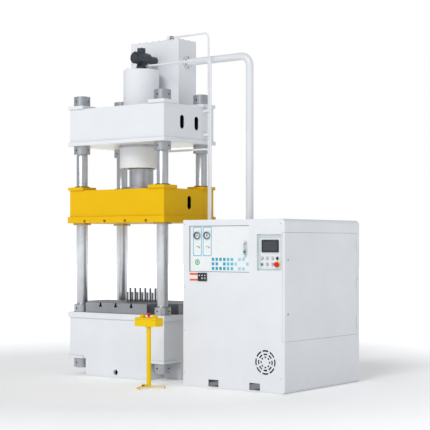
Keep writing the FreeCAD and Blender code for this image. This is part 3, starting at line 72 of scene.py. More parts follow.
class Graph:
    """Places and links the nodes of one shader tree."""

    def __init__(self, tree: bpy.types.NodeTree) -> None:
        """Keep the tree that the nodes go in.

        Args:
            tree: A material's, world's or group's node tree.
        """
        self.tree = tree

    def add(self, kind: str, inputs: dict | None = None, **settings) -> bpy.types.Node:
        """Add a node, set its fields and feed its sockets.

        Args:
            kind: The node type, such as "ShaderNodeBump".
            inputs: Socket name or index to a value or to another node's output.
            **settings: The node's own fields.

        Returns:
            The new node.
        """
        node = self.tree.nodes.new(kind)
        for name, value in settings.items():
            setattr(node, name, value)
        for key, value in (inputs or {}).items():
            if isinstance(value, bpy.types.NodeSocket):
                self.tree.links.new(value, node.inputs[key])
            else:
                node.inputs[key].default_value = value
        return node

    def sum(self, operation: str, first, second=0.0, clamp: bool = False):
        """Do one step of arithmetic and return its output.

        Args:
            operation: A Math node's operation, such as "MULTIPLY".
            first: A number or an output.
            second: A number or an output.
            clamp: Whether the result is held between 0 and 1.
        """
        return self.add("ShaderNodeMath", {0: first, 1: second}, operation=operation,
                        use_clamp=clamp).outputs[0]

    def span(self, value, low: float, high: float, to_low: float = 0.0, to_high: float = 1.0):
        """Stretch a value from one range to another and clamp it.

        Args:
            value: The output to stretch.
            low: The value that becomes to_low.
            high: The value that becomes to_high.
            to_low: The new low end.
            to_high: The new high end.
        """
        return self.add("ShaderNodeMapRange", {"Value": value, "From Min": low,
                        "From Max": high, "To Min": to_low, "To Max": to_high}).outputs[0]

    def mix(self, share, first, second):
        """Mix two colours by a share and return the output.

        Args:
            share: A number or mask, 0 for the first and 1 for the second.
            first: A colour or an output.
            second: A colour or an output.
        """
        node = self.add("ShaderNodeMix", {0: share}, data_type="RGBA")
        for index, value in ((6, first), (7, second)):
            if isinstance(value, bpy.types.NodeSocket):
                self.tree.links.new(value, node.inputs[index])
            else:
                node.inputs[index].default_value = (*value, 1.0)
        return node.outputs[2]

    def bump(self, strength: float, distance: float, height, **base):
        """Raise a height into a normal, on the base Normal where one is given."""
        return self.add("ShaderNodeBump", {"Strength": strength, "Distance": distance,
                                           "Height": height, **base}).outputs[0]

    def axes(self, vector):
        """Split a vector's output into its three numbers."""
        return self.add("ShaderNodeSeparateXYZ", {0: vector}).outputs

    def effect(self, kind: "Effect", **values: float) -> bpy.types.Node:
        """Place a shared effect with its own values.

        Args:
            kind: Which effect.
            **values: Input names, with spaces as underscores, to numbers.

        Returns:
            The group node, whose outputs hold the effect.
        """
        node = self.add("ShaderNodeGroup", node_tree=effect_tree(kind))
        for name, value in values.items():
            node.inputs[name.replace("_", " ").title()].default_value = value
        return node


class Effect(Enum):
    """The shared shader effects."""

    SOFT_EDGE = "soft_edge"
    GRAIN = "grain"
    TOOL_MARKS = "tool_marks"
    LATHE_MARKS = "lathe_marks"
    OCCLUSION_SHADE = "occlusion_shade"
    INSIDE = "inside"


def socket_names(kind: Effect) -> tuple[dict[str, float], tuple[str, ...]]:
    """Give an effect's inputs with their defaults, and its outputs.

    Args:
        kind: Which effect.

    Returns:
        Input name to default, and the output names. "Normal" is a vector.
    """
    return {
        Effect.SOFT_EDGE: ({"Radius": 0.003}, ("Normal", "Edge")),
        Effect.GRAIN: ({"Fine": 900.0, "Broad": 3.0}, ("Height", "Tone")),
        Effect.TOOL_MARKS: ({"Along X": 4.0, "Along Y": 300.0, "Along Z": 300.0},
                            ("Height", "Tone")),
        Effect.LATHE_MARKS: ({"Centre X": 0.0, "Centre Y": 0.0, "Pitch": 900.0},
                             ("Height", "Tone", "Radius")),
        Effect.OCCLUSION_SHADE: ({"Reach": 0.05}, ("Mask",)),
        Effect.INSIDE: ({"Half X": 1.0, "Half Y": 1.0, "Low Z": 0.0, "High Z": 1.0},
                        ("Mask",)),
    }[kind]


@cache
def effect_tree(kind: Effect) -> bpy.types.NodeTree:
    """Build one shared shader effect, once.

    Args:
        kind: Which effect.

    Returns:
        The node group.
    """
    tree = bpy.data.node_groups.new(kind.value, "ShaderNodeTree")
    inputs, outputs = socket_names(kind)
    for name, default in inputs.items():
        socket = tree.interface.new_socket(name=name, in_out="INPUT",
                                           socket_type="NodeSocketFloat")
        socket.default_value = default
    for name in outputs:
        tree.interface.new_socket(name=name, in_out="OUTPUT", socket_type=(
            "NodeSocketVector" if name == "Normal" else "NodeSocketFloat"))
    graph = Graph(tree)
    source = graph.add("NodeGroupInput").outputs
    made = {
        Effect.SOFT_EDGE: soft_edge_nodes,
        Effect.GRAIN: grain_nodes,
        Effect.TOOL_MARKS: tool_mark_nodes,
        Effect.LATHE_MARKS: lathe_mark_nodes,
        Effect.OCCLUSION_SHADE: occlusion_shade_nodes,
        Effect.INSIDE: inside_nodes,
    }[kind](graph, source)
    sink = graph.add("NodeGroupOutput")
    for name, output in zip(outputs, made):
        tree.links.new(output, sink.inputs[name])
    return tree


def soft_edge_nodes(graph: Graph, source) -> tuple:
    """Round the shading at edges and give a mask that is bright along them."""
    bevel = graph.add("ShaderNodeBevel", {"Radius": source["Radius"]}, samples=4)
    flat = graph.add("ShaderNodeNewGeometry").outputs["Normal"]
    agreement = graph.add("ShaderNodeVectorMath", {0: bevel.outputs[0], 1: flat},
                          operation="DOT_PRODUCT").outputs["Value"]
    return bevel.outputs[0], graph.span(agreement, 0.995, 0.8)


def grain_nodes(graph: Graph, source) -> tuple:
    """Give a fine height, such as spray texture, and a broad tone that drifts."""
    place = graph.add("ShaderNodeTexCoord").outputs["Object"]
    fine = graph.add("ShaderNodeTexNoise", {"Vector": place, "Scale": source["Fine"],
                                            "Detail": 2.0})
    broad = graph.add("ShaderNodeTexNoise", {"Vector": place, "Scale": source["Broad"],
                                             "Detail": 5.0, "Roughness": 0.6})
    return fine.outputs[0], graph.span(broad.outputs[0], 0.3, 0.7)


def tool_mark_nodes(graph: Graph, source) -> tuple:
    """Give straight tool marks, from noise drawn out along one axis."""
    place = graph.add("ShaderNodeTexCoord").outputs["Object"]
    scales = graph.add("ShaderNodeCombineXYZ", {0: source["Along X"], 1: source["Along Y"],
                                                2: source["Along Z"]})
    drawn = graph.add("ShaderNodeVectorMath", {0: place, 1: scales.outputs[0]},
                      operation="MULTIPLY").outputs[0]
    marks = graph.add("ShaderNodeTexNoise", {"Vector": drawn, "Scale": 1.0, "Detail": 3.0})
    broad = graph.add("ShaderNodeTexNoise", {"Vector": place, "Scale": 5.0, "Detail": 4.0})
    return marks.outputs[0], graph.span(broad.outputs[0], 0.3, 0.7)


def lathe_mark_nodes(graph: Graph, source) -> tuple:
    """Give turned rings about upright axes, the same about each of four folded corners."""
    place = graph.add("ShaderNodeTexCoord").outputs["Object"]
    split = graph.axes(place)
    across = graph.sum("SUBTRACT", graph.sum("ABSOLUTE", split[0]), source["Centre X"])
    along = graph.sum("SUBTRACT", graph.sum("ABSOLUTE", split[1]), source["Centre Y"])
    flat = graph.add("ShaderNodeCombineXYZ", {0: across, 1: along})
    radius = graph.add("ShaderNodeVectorMath", {0: flat.outputs[0]},
                       operation="LENGTH").outputs["Value"]
    travel = graph.sum("MULTIPLY", graph.sum("ADD", radius, split[2]), source["Pitch"])
    rings = graph.add("ShaderNodeTexNoise", {"W": travel, "Scale": 1.0, "Detail": 2.0},
                      noise_dimensions="1D")
    broad = graph.add("ShaderNodeTexNoise", {"Vector": place, "Scale": 9.0, "Detail": 4.0})
    return rings.outputs[0], graph.span(broad.outputs[0], 0.3, 0.7), radius


def inside_nodes(graph: Graph, source) -> tuple:
    """Give a mask that is 1 inside a hollow beam's outer skin and 0 on and outside it."""
    place = graph.add("ShaderNodeTexCoord").outputs["Object"]
    split = graph.axes(place)
    tests = [graph.sum("LESS_THAN", graph.sum("ABSOLUTE", split[0]), source["Half X"]),
             graph.sum("LESS_THAN", graph.sum("ABSOLUTE", split[1]), source["Half Y"]),
             graph.sum("GREATER_THAN", split[2], source["Low Z"]),
             graph.sum("LESS_THAN", split[2], source["High Z"])]
    level = graph.sum("MULTIPLY", tests[0], tests[1])
    return (graph.sum("MULTIPLY", level, graph.sum("MULTIPLY", tests[2], tests[3])),)


def occlusion_shade_nodes(graph: Graph, source) -> tuple:
    """Give a mask that is bright in corners that ambient occlusion finds, by which the finishes
    paint shade into their colour.
    """
    hidden = graph.add("ShaderNodeAmbientOcclusion", {"Distance": source["Reach"]}, samples=4)
    return (graph.span(hidden.outputs["AO"], 0.85, 0.25),)


# ------------------------------------------------------------------ finishes

def new_material(name: str) -> tuple[bpy.types.Material, Graph, bpy.types.Node]:
    """Make a material with an empty Principled shader.

    Args:
        name: The finish's name.

    Returns:
        The material, its graph and the Principled BSDF node.
    """
    material = bpy.data.materials.new(name)
    material.use_nodes = True
    graph = Graph(material.node_tree)
    return material, graph, material.node_tree.nodes["Principled BSDF"]


def feed(graph: Graph, shader: bpy.types.Node, **sources) -> None:
    """Link or set a shader's sockets by name, with underscores for spaces."""
    for name, value in sources.items():
        socket = shader.inputs[name.replace("_", " ")]
        if isinstance(value, bpy.types.NodeSocket):
            graph.tree.links.new(value, socket)
        else:
            socket.default_value = value


def worn_material(name: str, edge_radius: float, reach: float) -> tuple:
    """Make a material with rounded edges and an occlusion mask for its corners, used for painted
    shade.

    Args:
        name: The finish's name.
        edge_radius: How far edges look rounded.
        reach: How near two faces must be for the corner mask, and so the painted shade, to take
            in the space between them.

    Returns:
        The material, its graph, the Principled BSDF, the edge's outputs and the mask.
    """
    material, graph, shader = new_material(name)
    edge = graph.effect(Effect.SOFT_EDGE, radius=edge_radius).outputs
    corner = graph.effect(Effect.OCCLUSION_SHADE, reach=reach).outputs["Mask"]
    return material, graph, shader, edge, corner


def darker(colour: Colour, share: float) -> Colour:
    """Scale a colour's three values."""
    return tuple(value * share for value in colour)


@dataclass(frozen=True)
class Enamel:
    """Sprayed enamel over steel, with spray texture, rubbed edges, painted shade in corners that
    are also rougher there as dust, and painted shade near black inside a hollow beam.
    """

    name: str
    colour: Colour
    roughness: float = 0.34
    coat: float = 0.18
    texture: float = 0.10
    # Share of painted shade in corners, which also roughens them as dust.
    shade_and_dust: float = 0.22
    chips: float = 0.25
    edge_radius: float = 0.004
    # Box inside which the colour is painted near black as painted shade.
    hollow: tuple[float, float, float, float] | None = None
    specular: float = 0.5

    def build(self) -> bpy.types.Material:
        """Build the material."""
        material, graph, shader, edge, corner = worn_material(
            self.name, edge_radius=self.edge_radius, reach=0.06)
        grain = graph.effect(Effect.GRAIN, fine=420.0, broad=2.2).outputs
        body = graph.mix(grain["Tone"], self.colour, darker(self.colour, 0.95))
        # Painted shade: corners that occlusion finds darken towards a third of the colour. The
        # same mask raises the roughness there as dust.
        corner_shade_and_dust = graph.sum("MULTIPLY", corner, self.shade_and_dust)
        body = graph.mix(corner_shade_and_dust, body, darker(self.colour, 0.34))
        patchy = graph.span(graph.effect(Effect.GRAIN, fine=55.0).outputs["Height"], 0.52, 0.62)
        rubbed = graph.sum("MULTIPLY", edge["Edge"], graph.sum("MULTIPLY", patchy, self.chips))
        body = graph.mix(rubbed, body, darker(self.colour, 0.62))
        # Painted shade: inside the hollow box the colour is painted near black.
        if self.hollow:
            half_x, half_y, low, high = self.hollow
            hollow_shade = graph.effect(Effect.INSIDE, half_x=half_x, half_y=half_y, low_z=low,
                                high_z=high).outputs["Mask"]
            body = graph.mix(hollow_shade, body, (0.014, 0.013, 0.012))
        dull = graph.span(grain["Tone"], 0.0, 1.0, self.roughness, self.roughness + 0.10)
        dull = graph.sum("ADD", dull, graph.sum("MULTIPLY", corner_shade_and_dust, 0.6), clamp=True)
        normal = graph.bump(self.texture, 0.0006, grain["Height"], Normal=edge["Normal"])
        feed(graph, shader, Base_Color=body, Roughness=dull, Normal=normal, IOR=1.5,
             Coat_Weight=self.coat, Coat_Roughness=0.12, Specular_IOR_Level=self.specular)
        return material


class Lay(Enum):
    """Which way a steel surface's tool marks run: noise scale along X, Y and Z."""

    ALONG_X = (5.0, 420.0, 420.0)
    ALONG_Y = (420.0, 5.0, 420.0)
    ALONG_Z = (420.0, 420.0, 5.0)
    CAST = (70.0, 70.0, 70.0)


@dataclass(frozen=True)
class WorkedSteel:
    """Bare metal with straight tool marks, painted shade in corners and bright edges."""

    name: str
    colour: Colour
    lay: Lay = Lay.ALONG_X
    roughness: float = 0.34
    metallic: float = 1.0
    depth: float = 0.12
    # How far corners that occlusion finds darken, as painted shade.
    corner_shade: float = 0.5
    edge_radius: float = 0.002

    def build(self) -> bpy.types.Material:
        """Build the material."""
        material, graph, shader, edge, corner = worn_material(
            self.name, edge_radius=self.edge_radius, reach=0.04)
        x, y, z = self.lay.value
        marks = graph.effect(Effect.TOOL_MARKS, along_x=x, along_y=y, along_z=z).outputs
        body = graph.mix(marks["Tone"], self.colour, darker(self.colour, 0.82))
        body = graph.mix(graph.span(marks["Height"], 0.35, 0.7, 0.0, 0.35), body,
                         darker(self.colour, 0.7))
        # Painted shade: corners that occlusion finds darken towards a fifth of the colour.
        shaded_corner = graph.sum("MULTIPLY", corner, self.corner_shade)
        body = graph.mix(shaded_corner, body, darker(self.colour, 0.22))
        body = graph.mix(graph.sum("MULTIPLY", edge["Edge"], 0.35), body, (0.85, 0.86, 0.88))
        dull = graph.span(marks["Height"], 0.3, 0.7, self.roughness - 0.06,
                          self.roughness + 0.08)
        normal = graph.bump(self.depth, 0.0004, marks["Height"], Normal=edge["Normal"])
        feed(graph, shader, Base_Color=body, Roughness=dull, Normal=normal,
             Metallic=self.metallic)
        return material


@dataclass(frozen=True)
class TurnedSteel:
    """Lathe-turned or ground round metal, with rings about one or four upright axes, painted
    shade in corners and painted shade near black in holes near the axis.
    """

    name: str
    colour: Colour
    centre: tuple[float, float] = (0.0, 0.0)
    pitch: float = 900.0
    roughness: float = 0.3
    depth: float = 0.15
    # How far corners that occlusion finds darken, as painted shade.
    corner_shade: float = 0.4
    # Radius inside which faces that are not level are painted near black as painted shade.
    skin: float = 0.0

    def build(self) -> bpy.types.Material:
        """Build the material."""
        material, graph, shader, edge, corner = worn_material(
            self.name, edge_radius=0.002, reach=0.03)
        rings = graph.effect(Effect.LATHE_MARKS, centre_x=self.centre[0],
                             centre_y=self.centre[1], pitch=self.pitch).outputs
        body = graph.mix(rings["Tone"], self.colour, darker(self.colour, 0.88))
        body = graph.mix(graph.span(rings["Height"], 0.4, 0.65, 0.0, 0.3), body,
                         darker(self.colour, 0.75))
        # Painted shade: corners that occlusion finds darken towards a quarter of the colour.
        body = graph.mix(graph.sum("MULTIPLY", corner, self.corner_shade), body,
                         darker(self.colour, 0.25))
        # Painted shade: faces that are not level and lie nearer the axis than the skin radius
        # are painted near black, which darkens the holes in the column nuts.
        if self.skin:
            facing = graph.add("ShaderNodeNewGeometry").outputs["Normal"]
            upright = graph.sum("SUBTRACT", 1.0, graph.sum("ABSOLUTE", graph.axes(facing)[2]))
            sunk = graph.sum("MULTIPLY", graph.sum("LESS_THAN", rings["Radius"], self.skin),
                             graph.sum("GREATER_THAN", upright, 0.02))
            body = graph.mix(sunk, body, (0.012, 0.012, 0.012))
        dull = graph.span(rings["Height"], 0.3, 0.7, self.roughness - 0.04,
                          self.roughness + 0.05)
        normal = graph.bump(self.depth, 0.0003, rings["Height"], Normal=edge["Normal"])
        feed(graph, shader, Base_Color=body, Roughness=dull, Normal=normal, Metallic=1.0)
        return material


@dataclass(frozen=True)
class Moulded:
    """Moulded plastic or rubber, with spark-eroded grain, handling shine and painted shade in
    corners.
    """

    name: str
    colour: Colour
    roughness: float = 0.42
    grain: float = 0.18
    scale: float = 1600.0
    coat: float = 0.0

    def build(self) -> bpy.types.Material:
        """Build the material."""
        material, graph, shader, edge, corner = worn_material(
            self.name, edge_radius=0.0012, reach=0.008)
        grain = graph.effect(Effect.GRAIN, fine=self.scale, broad=25.0).outputs
        body = graph.mix(grain["Tone"], self.colour, darker(self.colour, 0.95))
        # Painted shade: corners that occlusion finds darken towards 40 per cent of the colour.
        body = graph.mix(graph.sum("MULTIPLY", corner, 0.35), body,
                         darker(self.colour, 0.4))
        dull = graph.span(grain["Tone"], 0.0, 1.0, self.roughness - 0.05,
                          self.roughness + 0.08)
        normal = graph.bump(self.grain, 0.0002, grain["Height"], Normal=edge["Normal"])
        feed(graph, shader, Base_Color=body, Roughness=dull, Normal=normal,
             Coat_Weight=self.coat, Coat_Roughness=0.05)
        return material


@dataclass(frozen=True)
class Ink:
    """Screen-printed ink on a sheet, slightly raised and uneven in tone."""

    name: str
    colour: Colour
    roughness: float = 0.3

    def build(self) -> bpy.types.Material:
        """Build the material."""
        material, graph, shader = new_material(self.name)
        grain = graph.effect(Effect.GRAIN, fine=2400.0, broad=40.0).outputs
        body = graph.mix(grain["Tone"], self.colour, darker(self.colour, 0.93))
        dull = graph.span(grain["Height"], 0.3, 0.7, self.roughness, self.roughness + 0.1)
        feed(graph, shader, Base_Color=body, Roughness=dull,
             Normal=graph.bump(0.08, 0.0001, grain["Height"]))
        return material


@dataclass(frozen=True)
class Clear:
    """Clear glass or acrylic with faint wipe marks."""

    name: str
    colour: Colour
    roughness: float = 0.04
    ior: float = 1.47

    def build(self) -> bpy.types.Material:
        """Build the material."""
        material, graph, shader = new_material(self.name)
        marks = graph.effect(Effect.TOOL_MARKS, along_x=30.0, along_y=30.0, along_z=6.0).outputs
        dull = graph.span(marks["Height"], 0.4, 0.7, self.roughness, self.roughness + 0.08)
        feed(graph, shader, Base_Color=(*self.colour, 1.0), Roughness=dull,
             Transmission_Weight=1.0, IOR=self.ior)
        return material


@dataclass(frozen=True)
class Display:
    """A dark display under glass, faintly lit in broad fields."""

    name: str
    dark: Colour
    light: Colour
    strength: float = 0.25

    def build(self) -> bpy.types.Material:
        """Build the material."""
        material, graph, shader = new_material(self.name)
        place = graph.add("ShaderNodeTexCoord").outputs["Object"]
        cells = graph.add("ShaderNodeTexVoronoi", {"Vector": place, "Scale": 30.0,
                          "Randomness": 0.2}, distance="CHEBYCHEV").outputs[0]
        shade = graph.span(cells, 0.2, 0.9)
        glow = graph.mix(shade, self.dark, self.light)
        feed(graph, shader, Base_Color=glow, Roughness=0.12, Coat_Weight=1.0,
             Coat_Roughness=0.03, Emission_Color=glow, Emission_Strength=self.strength)
        return material


Finish = Enamel | WorkedSteel | TurnedSteel | Moulded | Ink | Clear | Display


@cache
def material_of(finish: Finish) -> bpy.types.Material:
    """Build a finish's material once and keep it."""
    return finish.build()


def put(name: str, data: bpy.types.ID) -> bpy.types.Object:
    """Place a new object with its data in the scene."""
    piece = bpy.data.objects.new(name, data)
    bpy.context.scene.collection.objects.link(piece)
    return piece


WHITE = Enamel("white_enamel", (0.80, 0.82, 0.85))
CROWN_WHITE = Enamel("crown_white_enamel", WHITE.colour, hollow=(*HOLLOW_HALF, 2.759, 3.190))
BED_WHITE = Enamel("bed_white_enamel", WHITE.colour, hollow=(*HOLLOW_HALF, 0.241, 0.716))
PANEL_WHITE = Enamel("panel_white_enamel", (0.80, 0.82, 0.85), roughness=0.4, texture=0.16,
                     edge_radius=0.002, chips=0.1)
PIPE_WHITE = Enamel("pipe_white_enamel", (0.78, 0.80, 0.83), roughness=0.3, edge_radius=0.002)
YELLOW = Enamel("slide_yellow_enamel", (0.84, 0.50, 0.0), roughness=0.42, coat=0.0,
                hollow=(*HOLLOW_HALF, 1.900, 2.213), specular=0.15)
STAND_YELLOW = Enamel("stand_yellow_enamel", (0.90, 0.60, 0.0), roughness=0.42, coat=0.0,
                      edge_radius=0.0015, specular=0.15)
FRAME_GREY = Enamel("machine_grey_enamel", (0.33, 0.35, 0.38), roughness=0.42)
TRAY_GREY = Enamel("tray_grey_enamel", (0.84, 0.85, 0.87), roughness=0.42, edge_radius=0.001,
                   shade_and_dust=0.1)
MOTOR_BLUE = Enamel("motor_blue_enamel", (0.05, 0.13, 0.26), roughness=0.4, texture=0.25)
VALVE_DARK = Enamel("valve_slate_enamel", (0.030, 0.042, 0.054), roughness=0.38, texture=0.35,
                    coat=0.1, chips=0.4)
FORGED_WHITE = Enamel("cylinder_white_enamel", (0.80, 0.82, 0.85), roughness=0.30,
                      texture=0.05)
TABLE_STEEL = WorkedSteel("ground_table_steel", (0.42, 0.44, 0.47), Lay.ALONG_X, 0.38)
PIN_STEEL = WorkedSteel("hardened_pin_steel", (0.22, 0.23, 0.25), Lay.ALONG_Z, 0.2,
                        corner_shade=0.7)
PLATE_STEEL = WorkedSteel("pressure_plate_steel", (0.30, 0.31, 0.33), Lay.ALONG_Y, 0.4)
SHAFT_STEEL = WorkedSteel("shaft_steel", (0.50, 0.51, 0.53), Lay.ALONG_X, 0.25)
BLACK_OXIDE = WorkedSteel("black_oxide_steel", (0.045, 0.046, 0.05), Lay.CAST, 0.42)
ZINC = WorkedSteel("zinc_plated_steel", (0.62, 0.63, 0.66), Lay.CAST, 0.3, depth=0.06)
PUMP_IRON = WorkedSteel("pump_cast_iron", (0.09, 0.10, 0.11), Lay.CAST, 0.55, 0.6, 0.4)
COLUMN_CHROME = TurnedSteel("ground_column_chrome", (0.74, 0.76, 0.79), COLUMN_CENTRE,
                            1.5, 0.34, 0.0, 0.1)
RAM_CHROME = TurnedSteel("ground_ram_chrome", (0.60, 0.61, 0.64), (0.0, 0.0), 1.5, 0.3,
                         0.0, 0.15)
NUT_STEEL = TurnedSteel("turned_nut_steel", (0.52, 0.54, 0.57), COLUMN_CENTRE, 700.0, 0.36,
                        0.3, skin=0.094)
RING_STEEL = TurnedSteel("turned_ring_steel", (0.52, 0.54, 0.57), (0.0, 0.0), 700.0, 0.36,
                         0.25)
BRONZE = TurnedSteel("bush_bronze", (0.62, 0.42, 0.18), COLUMN_CENTRE, 600.0, 0.3, 0.2)
PACKING = Moulded("packing_polyurethane", (0.04, 0.11, 0.28), 0.5)
BLACK_PLASTIC = Moulded("black_moulding", (0.018, 0.019, 0.021), 0.38)
RUBBER = Moulded("black_rubber", (0.02, 0.02, 0.021), 0.7, 0.3)
SILVER_CAP = Moulded("silver_button_cap", (0.62, 0.63, 0.66), 0.3, 0.05, coat=0.3)
PALE_CAP = Moulded("pale_button_cap", (0.74, 0.73, 0.72), 0.35, 0.05, coat=0.3)
GREEN_CAP = Moulded("green_button_cap", (0.03, 0.36, 0.10), 0.3, 0.05, coat=0.4)
RED_CAP = Moulded("red_mushroom", (0.72, 0.0, 0.0), 0.45, 0.05)
YELLOW_CAP = Moulded("yellow_ring_plate", (0.90, 0.60, 0.0), 0.45, 0.05)
NEEDLE_RED = Moulded("needle_lacquer", (0.55, 0.02, 0.02), 0.3, 0.02)
FLOAT_BLUE = Moulded("float_blue", (0.0, 0.42, 0.58), 0.4, 0.02)
BOARD_WHITE = Moulded("board_laminate", (0.86, 0.88, 0.885), 0.28, 0.04, coat=0.3)
DIAL_WHITE = Ink("dial_white", (0.80, 0.90, 0.91))
CYAN = Ink("print_cyan", (0.0, 0.36, 0.52))
PALE_CYAN = Ink("print_pale_cyan", (0.09, 0.52, 0.66))
FAINT_CYAN = Ink("print_faint_cyan", (0.34, 0.68, 0.76))
PRINT_GREEN = Ink("print_green", (0.05, 0.48, 0.16))
PRINT_AMBER = Ink("print_amber", (0.92, 0.66, 0.20))
PRINT_RED = Ink("print_red", (0.78, 0.07, 0.03))
PRINT_ORANGE = Ink("print_orange", (0.84, 0.10, 0.01))
CHAPTER_GREY = Ink("chapter_ring_grey", (0.15, 0.18, 0.20))
LABEL_WHITE = Ink("label_white", (0.86, 0.86, 0.86))
GAUGE_GLASS = Clear("gauge_glass", (1.0, 1.0, 1.0), 0.0, 1.15)
TUBE_ACRYLIC = Clear("level_tube_acrylic", (0.99, 1.0, 1.0), 0.0, 1.12)
SCREEN_GLASS = Display("screen_display", (0.030, 0.040, 0.050), (0.045, 0.058, 0.068), 0.1)


# ------------------------------------------------------------------ mesh making

class Facing(Enum):
    """The way a fitting's own +Z axis points in the machine's frame."""

    FRONT = ((1, 0, 0), (0, 0, -1), (0, 1, 0))
    BACK = ((-1, 0, 0), (0, 0, 1), (0, 1, 0))
    RIGHT = ((0, 0, 1), (1, 0, 0), (0, 1, 0))
    LEFT = ((0, 0, -1), (-1, 0, 0), (0, 1, 0))
    UP = ((1, 0, 0), (0, 1, 0), (0, 0, 1))
    DOWN = ((1, 0, 0), (0, -1, 0), (0, 0, -1))

    def at(self, x: float, y: float, z: float) -> Matrix:
        """Give the frame of a fitting that faces this way at a point."""
        return Matrix.Translation((x, y, z)) @ Matrix(self.value).to_4x4()


def moved(place: Matrix, x: float = 0.0, y: float = 0.0, z: float = 0.0) -> Matrix:
    """Give a place moved along its own axes."""
    return place @ Matrix.Translation((x, y, z))


def middle(name: str) -> Vector:
    """Give the middle of a node's box."""
    low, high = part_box(name)
    return Vector([(a + b) / 2 for a, b in zip(low, high)])


class Maker:
    """Collects the shapes of one piece in a mesh, with one material for each finish."""

    def __init__(self, name: str, *finishes: Finish) -> None:
        """Start an empty piece.

        Args:
            name: The piece's name.
            *finishes: Its finishes, in the order of the material indexes.
        """
        self.name = name
        self.finishes = finishes
        self.mesh = bmesh.new()

    def _ring(self, outline: Outline, height: float) -> Verts:
        """Add an outline's corners as vertices at a height."""
        return [self.mesh.verts.new((x, y, height)) for x, y in outline]

    def _loft(self, rings: Sequence[Verts], closed: bool = False) -> None:
        """Join each ring to the next with faces, and the last to the first if closed."""
        sides = max(len(ring) for ring in rings)
        for lower, upper in zip(rings, rings[1:] + (rings[:1] if closed else [])):
            for step in range(sides):
                loop = (lower[step % len(lower)], lower[(step + 1) % len(lower)],
                        upper[(step + 1) % len(upper)], upper[step % len(upper)])
                loop = list(dict.fromkeys(loop))
                if len(loop) > 2:
                    self.mesh.faces.new(loop)

    def _settle(self, verts: Verts, place: Matrix, finish: int) -> None:
        """Move new vertices to their place and set their faces' finish."""
        bmesh.ops.transform(self.mesh, matrix=place, verts=verts)
        for face in {face for vert in verts for face in vert.link_faces}:
            face.material_index = finish

    def turn(self, profile: Outline, place: Matrix, finish: int = 0,
             sides: int = 32) -> None:
        """Turn a profile of (radius, height) points about the place's Z axis.

        Args:
            profile: The points, from the outside of one end to the other. Radius 0 closes.
            place: Where the piece stands.
            finish: Index of its finish.
            sides: How many steps make the circle. Six gives a hexagon.
        """
        rings = [self._ring(ring_places(sides if radius > AXIS else 1, radius), height)
                 for radius, height in profile]
        self._loft(rings)
        self._settle(sum(rings, []), place, finish)

    def slab(self, outline: Outline, thickness: float, place: Matrix, finish: int = 0,
             bevel: float = 0.0) -> None:
        """Raise an outline into a slab.

        Args:
            outline: Corners of the outline, anticlockwise.
            thickness: How far it stands up along the place's Z axis.
            place: Where it lies.
            finish: Index of its finish.
            bevel: How far its upper edges are rounded.
        """
        base, top = rings = [self._ring(outline, height) for height in (0.0, thickness)]
        self._loft(rings)
        self.mesh.faces.new(base[::-1])
        lid = self.mesh.faces.new(top)
        verts = base + top
        if bevel:
            made = bmesh.ops.bevel(self.mesh, geom=list(lid.edges), offset=bevel, segments=2,
                                   profile=0.5, affect="EDGES", clamp_overlap=True)
            verts = list({vert for vert in verts + made["verts"] if vert.is_valid})
        self._settle(verts, place, finish)

    def frame(self, outer: Outline, inner: Outline, thickness: float, place: Matrix,
              finish: int = 0) -> None:
        """Raise the band between two outlines of the same number of corners."""
        rings = [self._ring(outline, height)
                 for outline, height in ((outer, 0.0), (outer, thickness),
                                         (inner, thickness), (inner, 0.0))]
        self._loft(rings, closed=True)
        self._settle(sum(rings, []), place, finish)

    def sweep(self, points: Sequence[Vector], radius: float, finish: int = 0,
              sides: int = 12, ripple: float = 0.0, closed: bool = False) -> None:
        """Draw a round bar along points.

        Args:
            points: The centre line, close enough together to look smooth.
            radius: The bar's radius.
            finish: Index of its finish.
            sides: How many steps make the circle.
            ripple: Share by which the radius swells at each second point, as in a weld.
            closed: Whether the last point joins the first.
        """
        rings: list[Verts] = []
        count = len(points)
        for index, point in enumerate(points):
            before = points[index - 1] if index or closed else point
            after = points[(index + 1) % count] if index + 1 < count or closed else point
            turn = (after - before).to_track_quat("Z", "Y").to_matrix().to_4x4()
            size = radius * (1.0 + ripple * (index % 2))
            place = Matrix.Translation(point) @ turn
            rings.append([self.mesh.verts.new(place @ Vector((x, y, 0.0)))
                          for x, y in ring_places(sides, size)])
        self._loft(rings, closed)
        if not closed:
            self.mesh.faces.new(rings[0][::-1])
            self.mesh.faces.new(rings[-1])
        self._settle(sum(rings, []), Matrix(), finish)

    def weld(self, corners: Sequence[Vector], size: float = 0.005, closed: bool = True,
             finish: int = 0) -> None:
        """Lay a rippled weld bead along straight runs between corners."""
        ends = list(corners) + ([corners[0]] if closed else [])
        points: list[Vector] = []
        for start, stop in zip(ends, ends[1:]):
            steps = max(2, round((stop - start).length / (size * 1.8)))
            points += [start.lerp(stop, step / steps) for step in range(steps)]
        if not closed:
            points.append(ends[-1])
        self.sweep(points, size, finish, sides=6, ripple=0.18, closed=closed)

    def hex_bolt(self, place: Matrix, across: float, finish: int = 0) -> None:
        """Stand a washer and a chamfered hexagon head at a place."""
        radius = across / math.sqrt(3.0)
        washer = 0.14 * across
        self.turn([(0.0, 0.0), (across * 0.98, 0.0), (across * 0.98, washer),
                   (0.0, washer)], place, finish, 24)
        raised = moved(place, z=washer)
        height = across * 0.62
        self.turn([(0.0, 0.0), (radius, 0.0), (radius, height * 0.86),
                   (radius * 0.86, height), (0.0, height)], raised, finish, 6)

    def socket_screw(self, place: Matrix, radius: float, height: float, finish: int = 0,
                     dark: int = 0) -> None:
        """Stand a cap screw with a sunk hexagon at a place; the hexagon takes the dark finish,
        mostly black oxide, as painted shade.
        """
        key = radius * 0.52
        self.turn([(radius, 0.0), (radius, height * 0.85), (radius * 0.9, height),
                   (key * 1.25, height)], place, finish, 20)
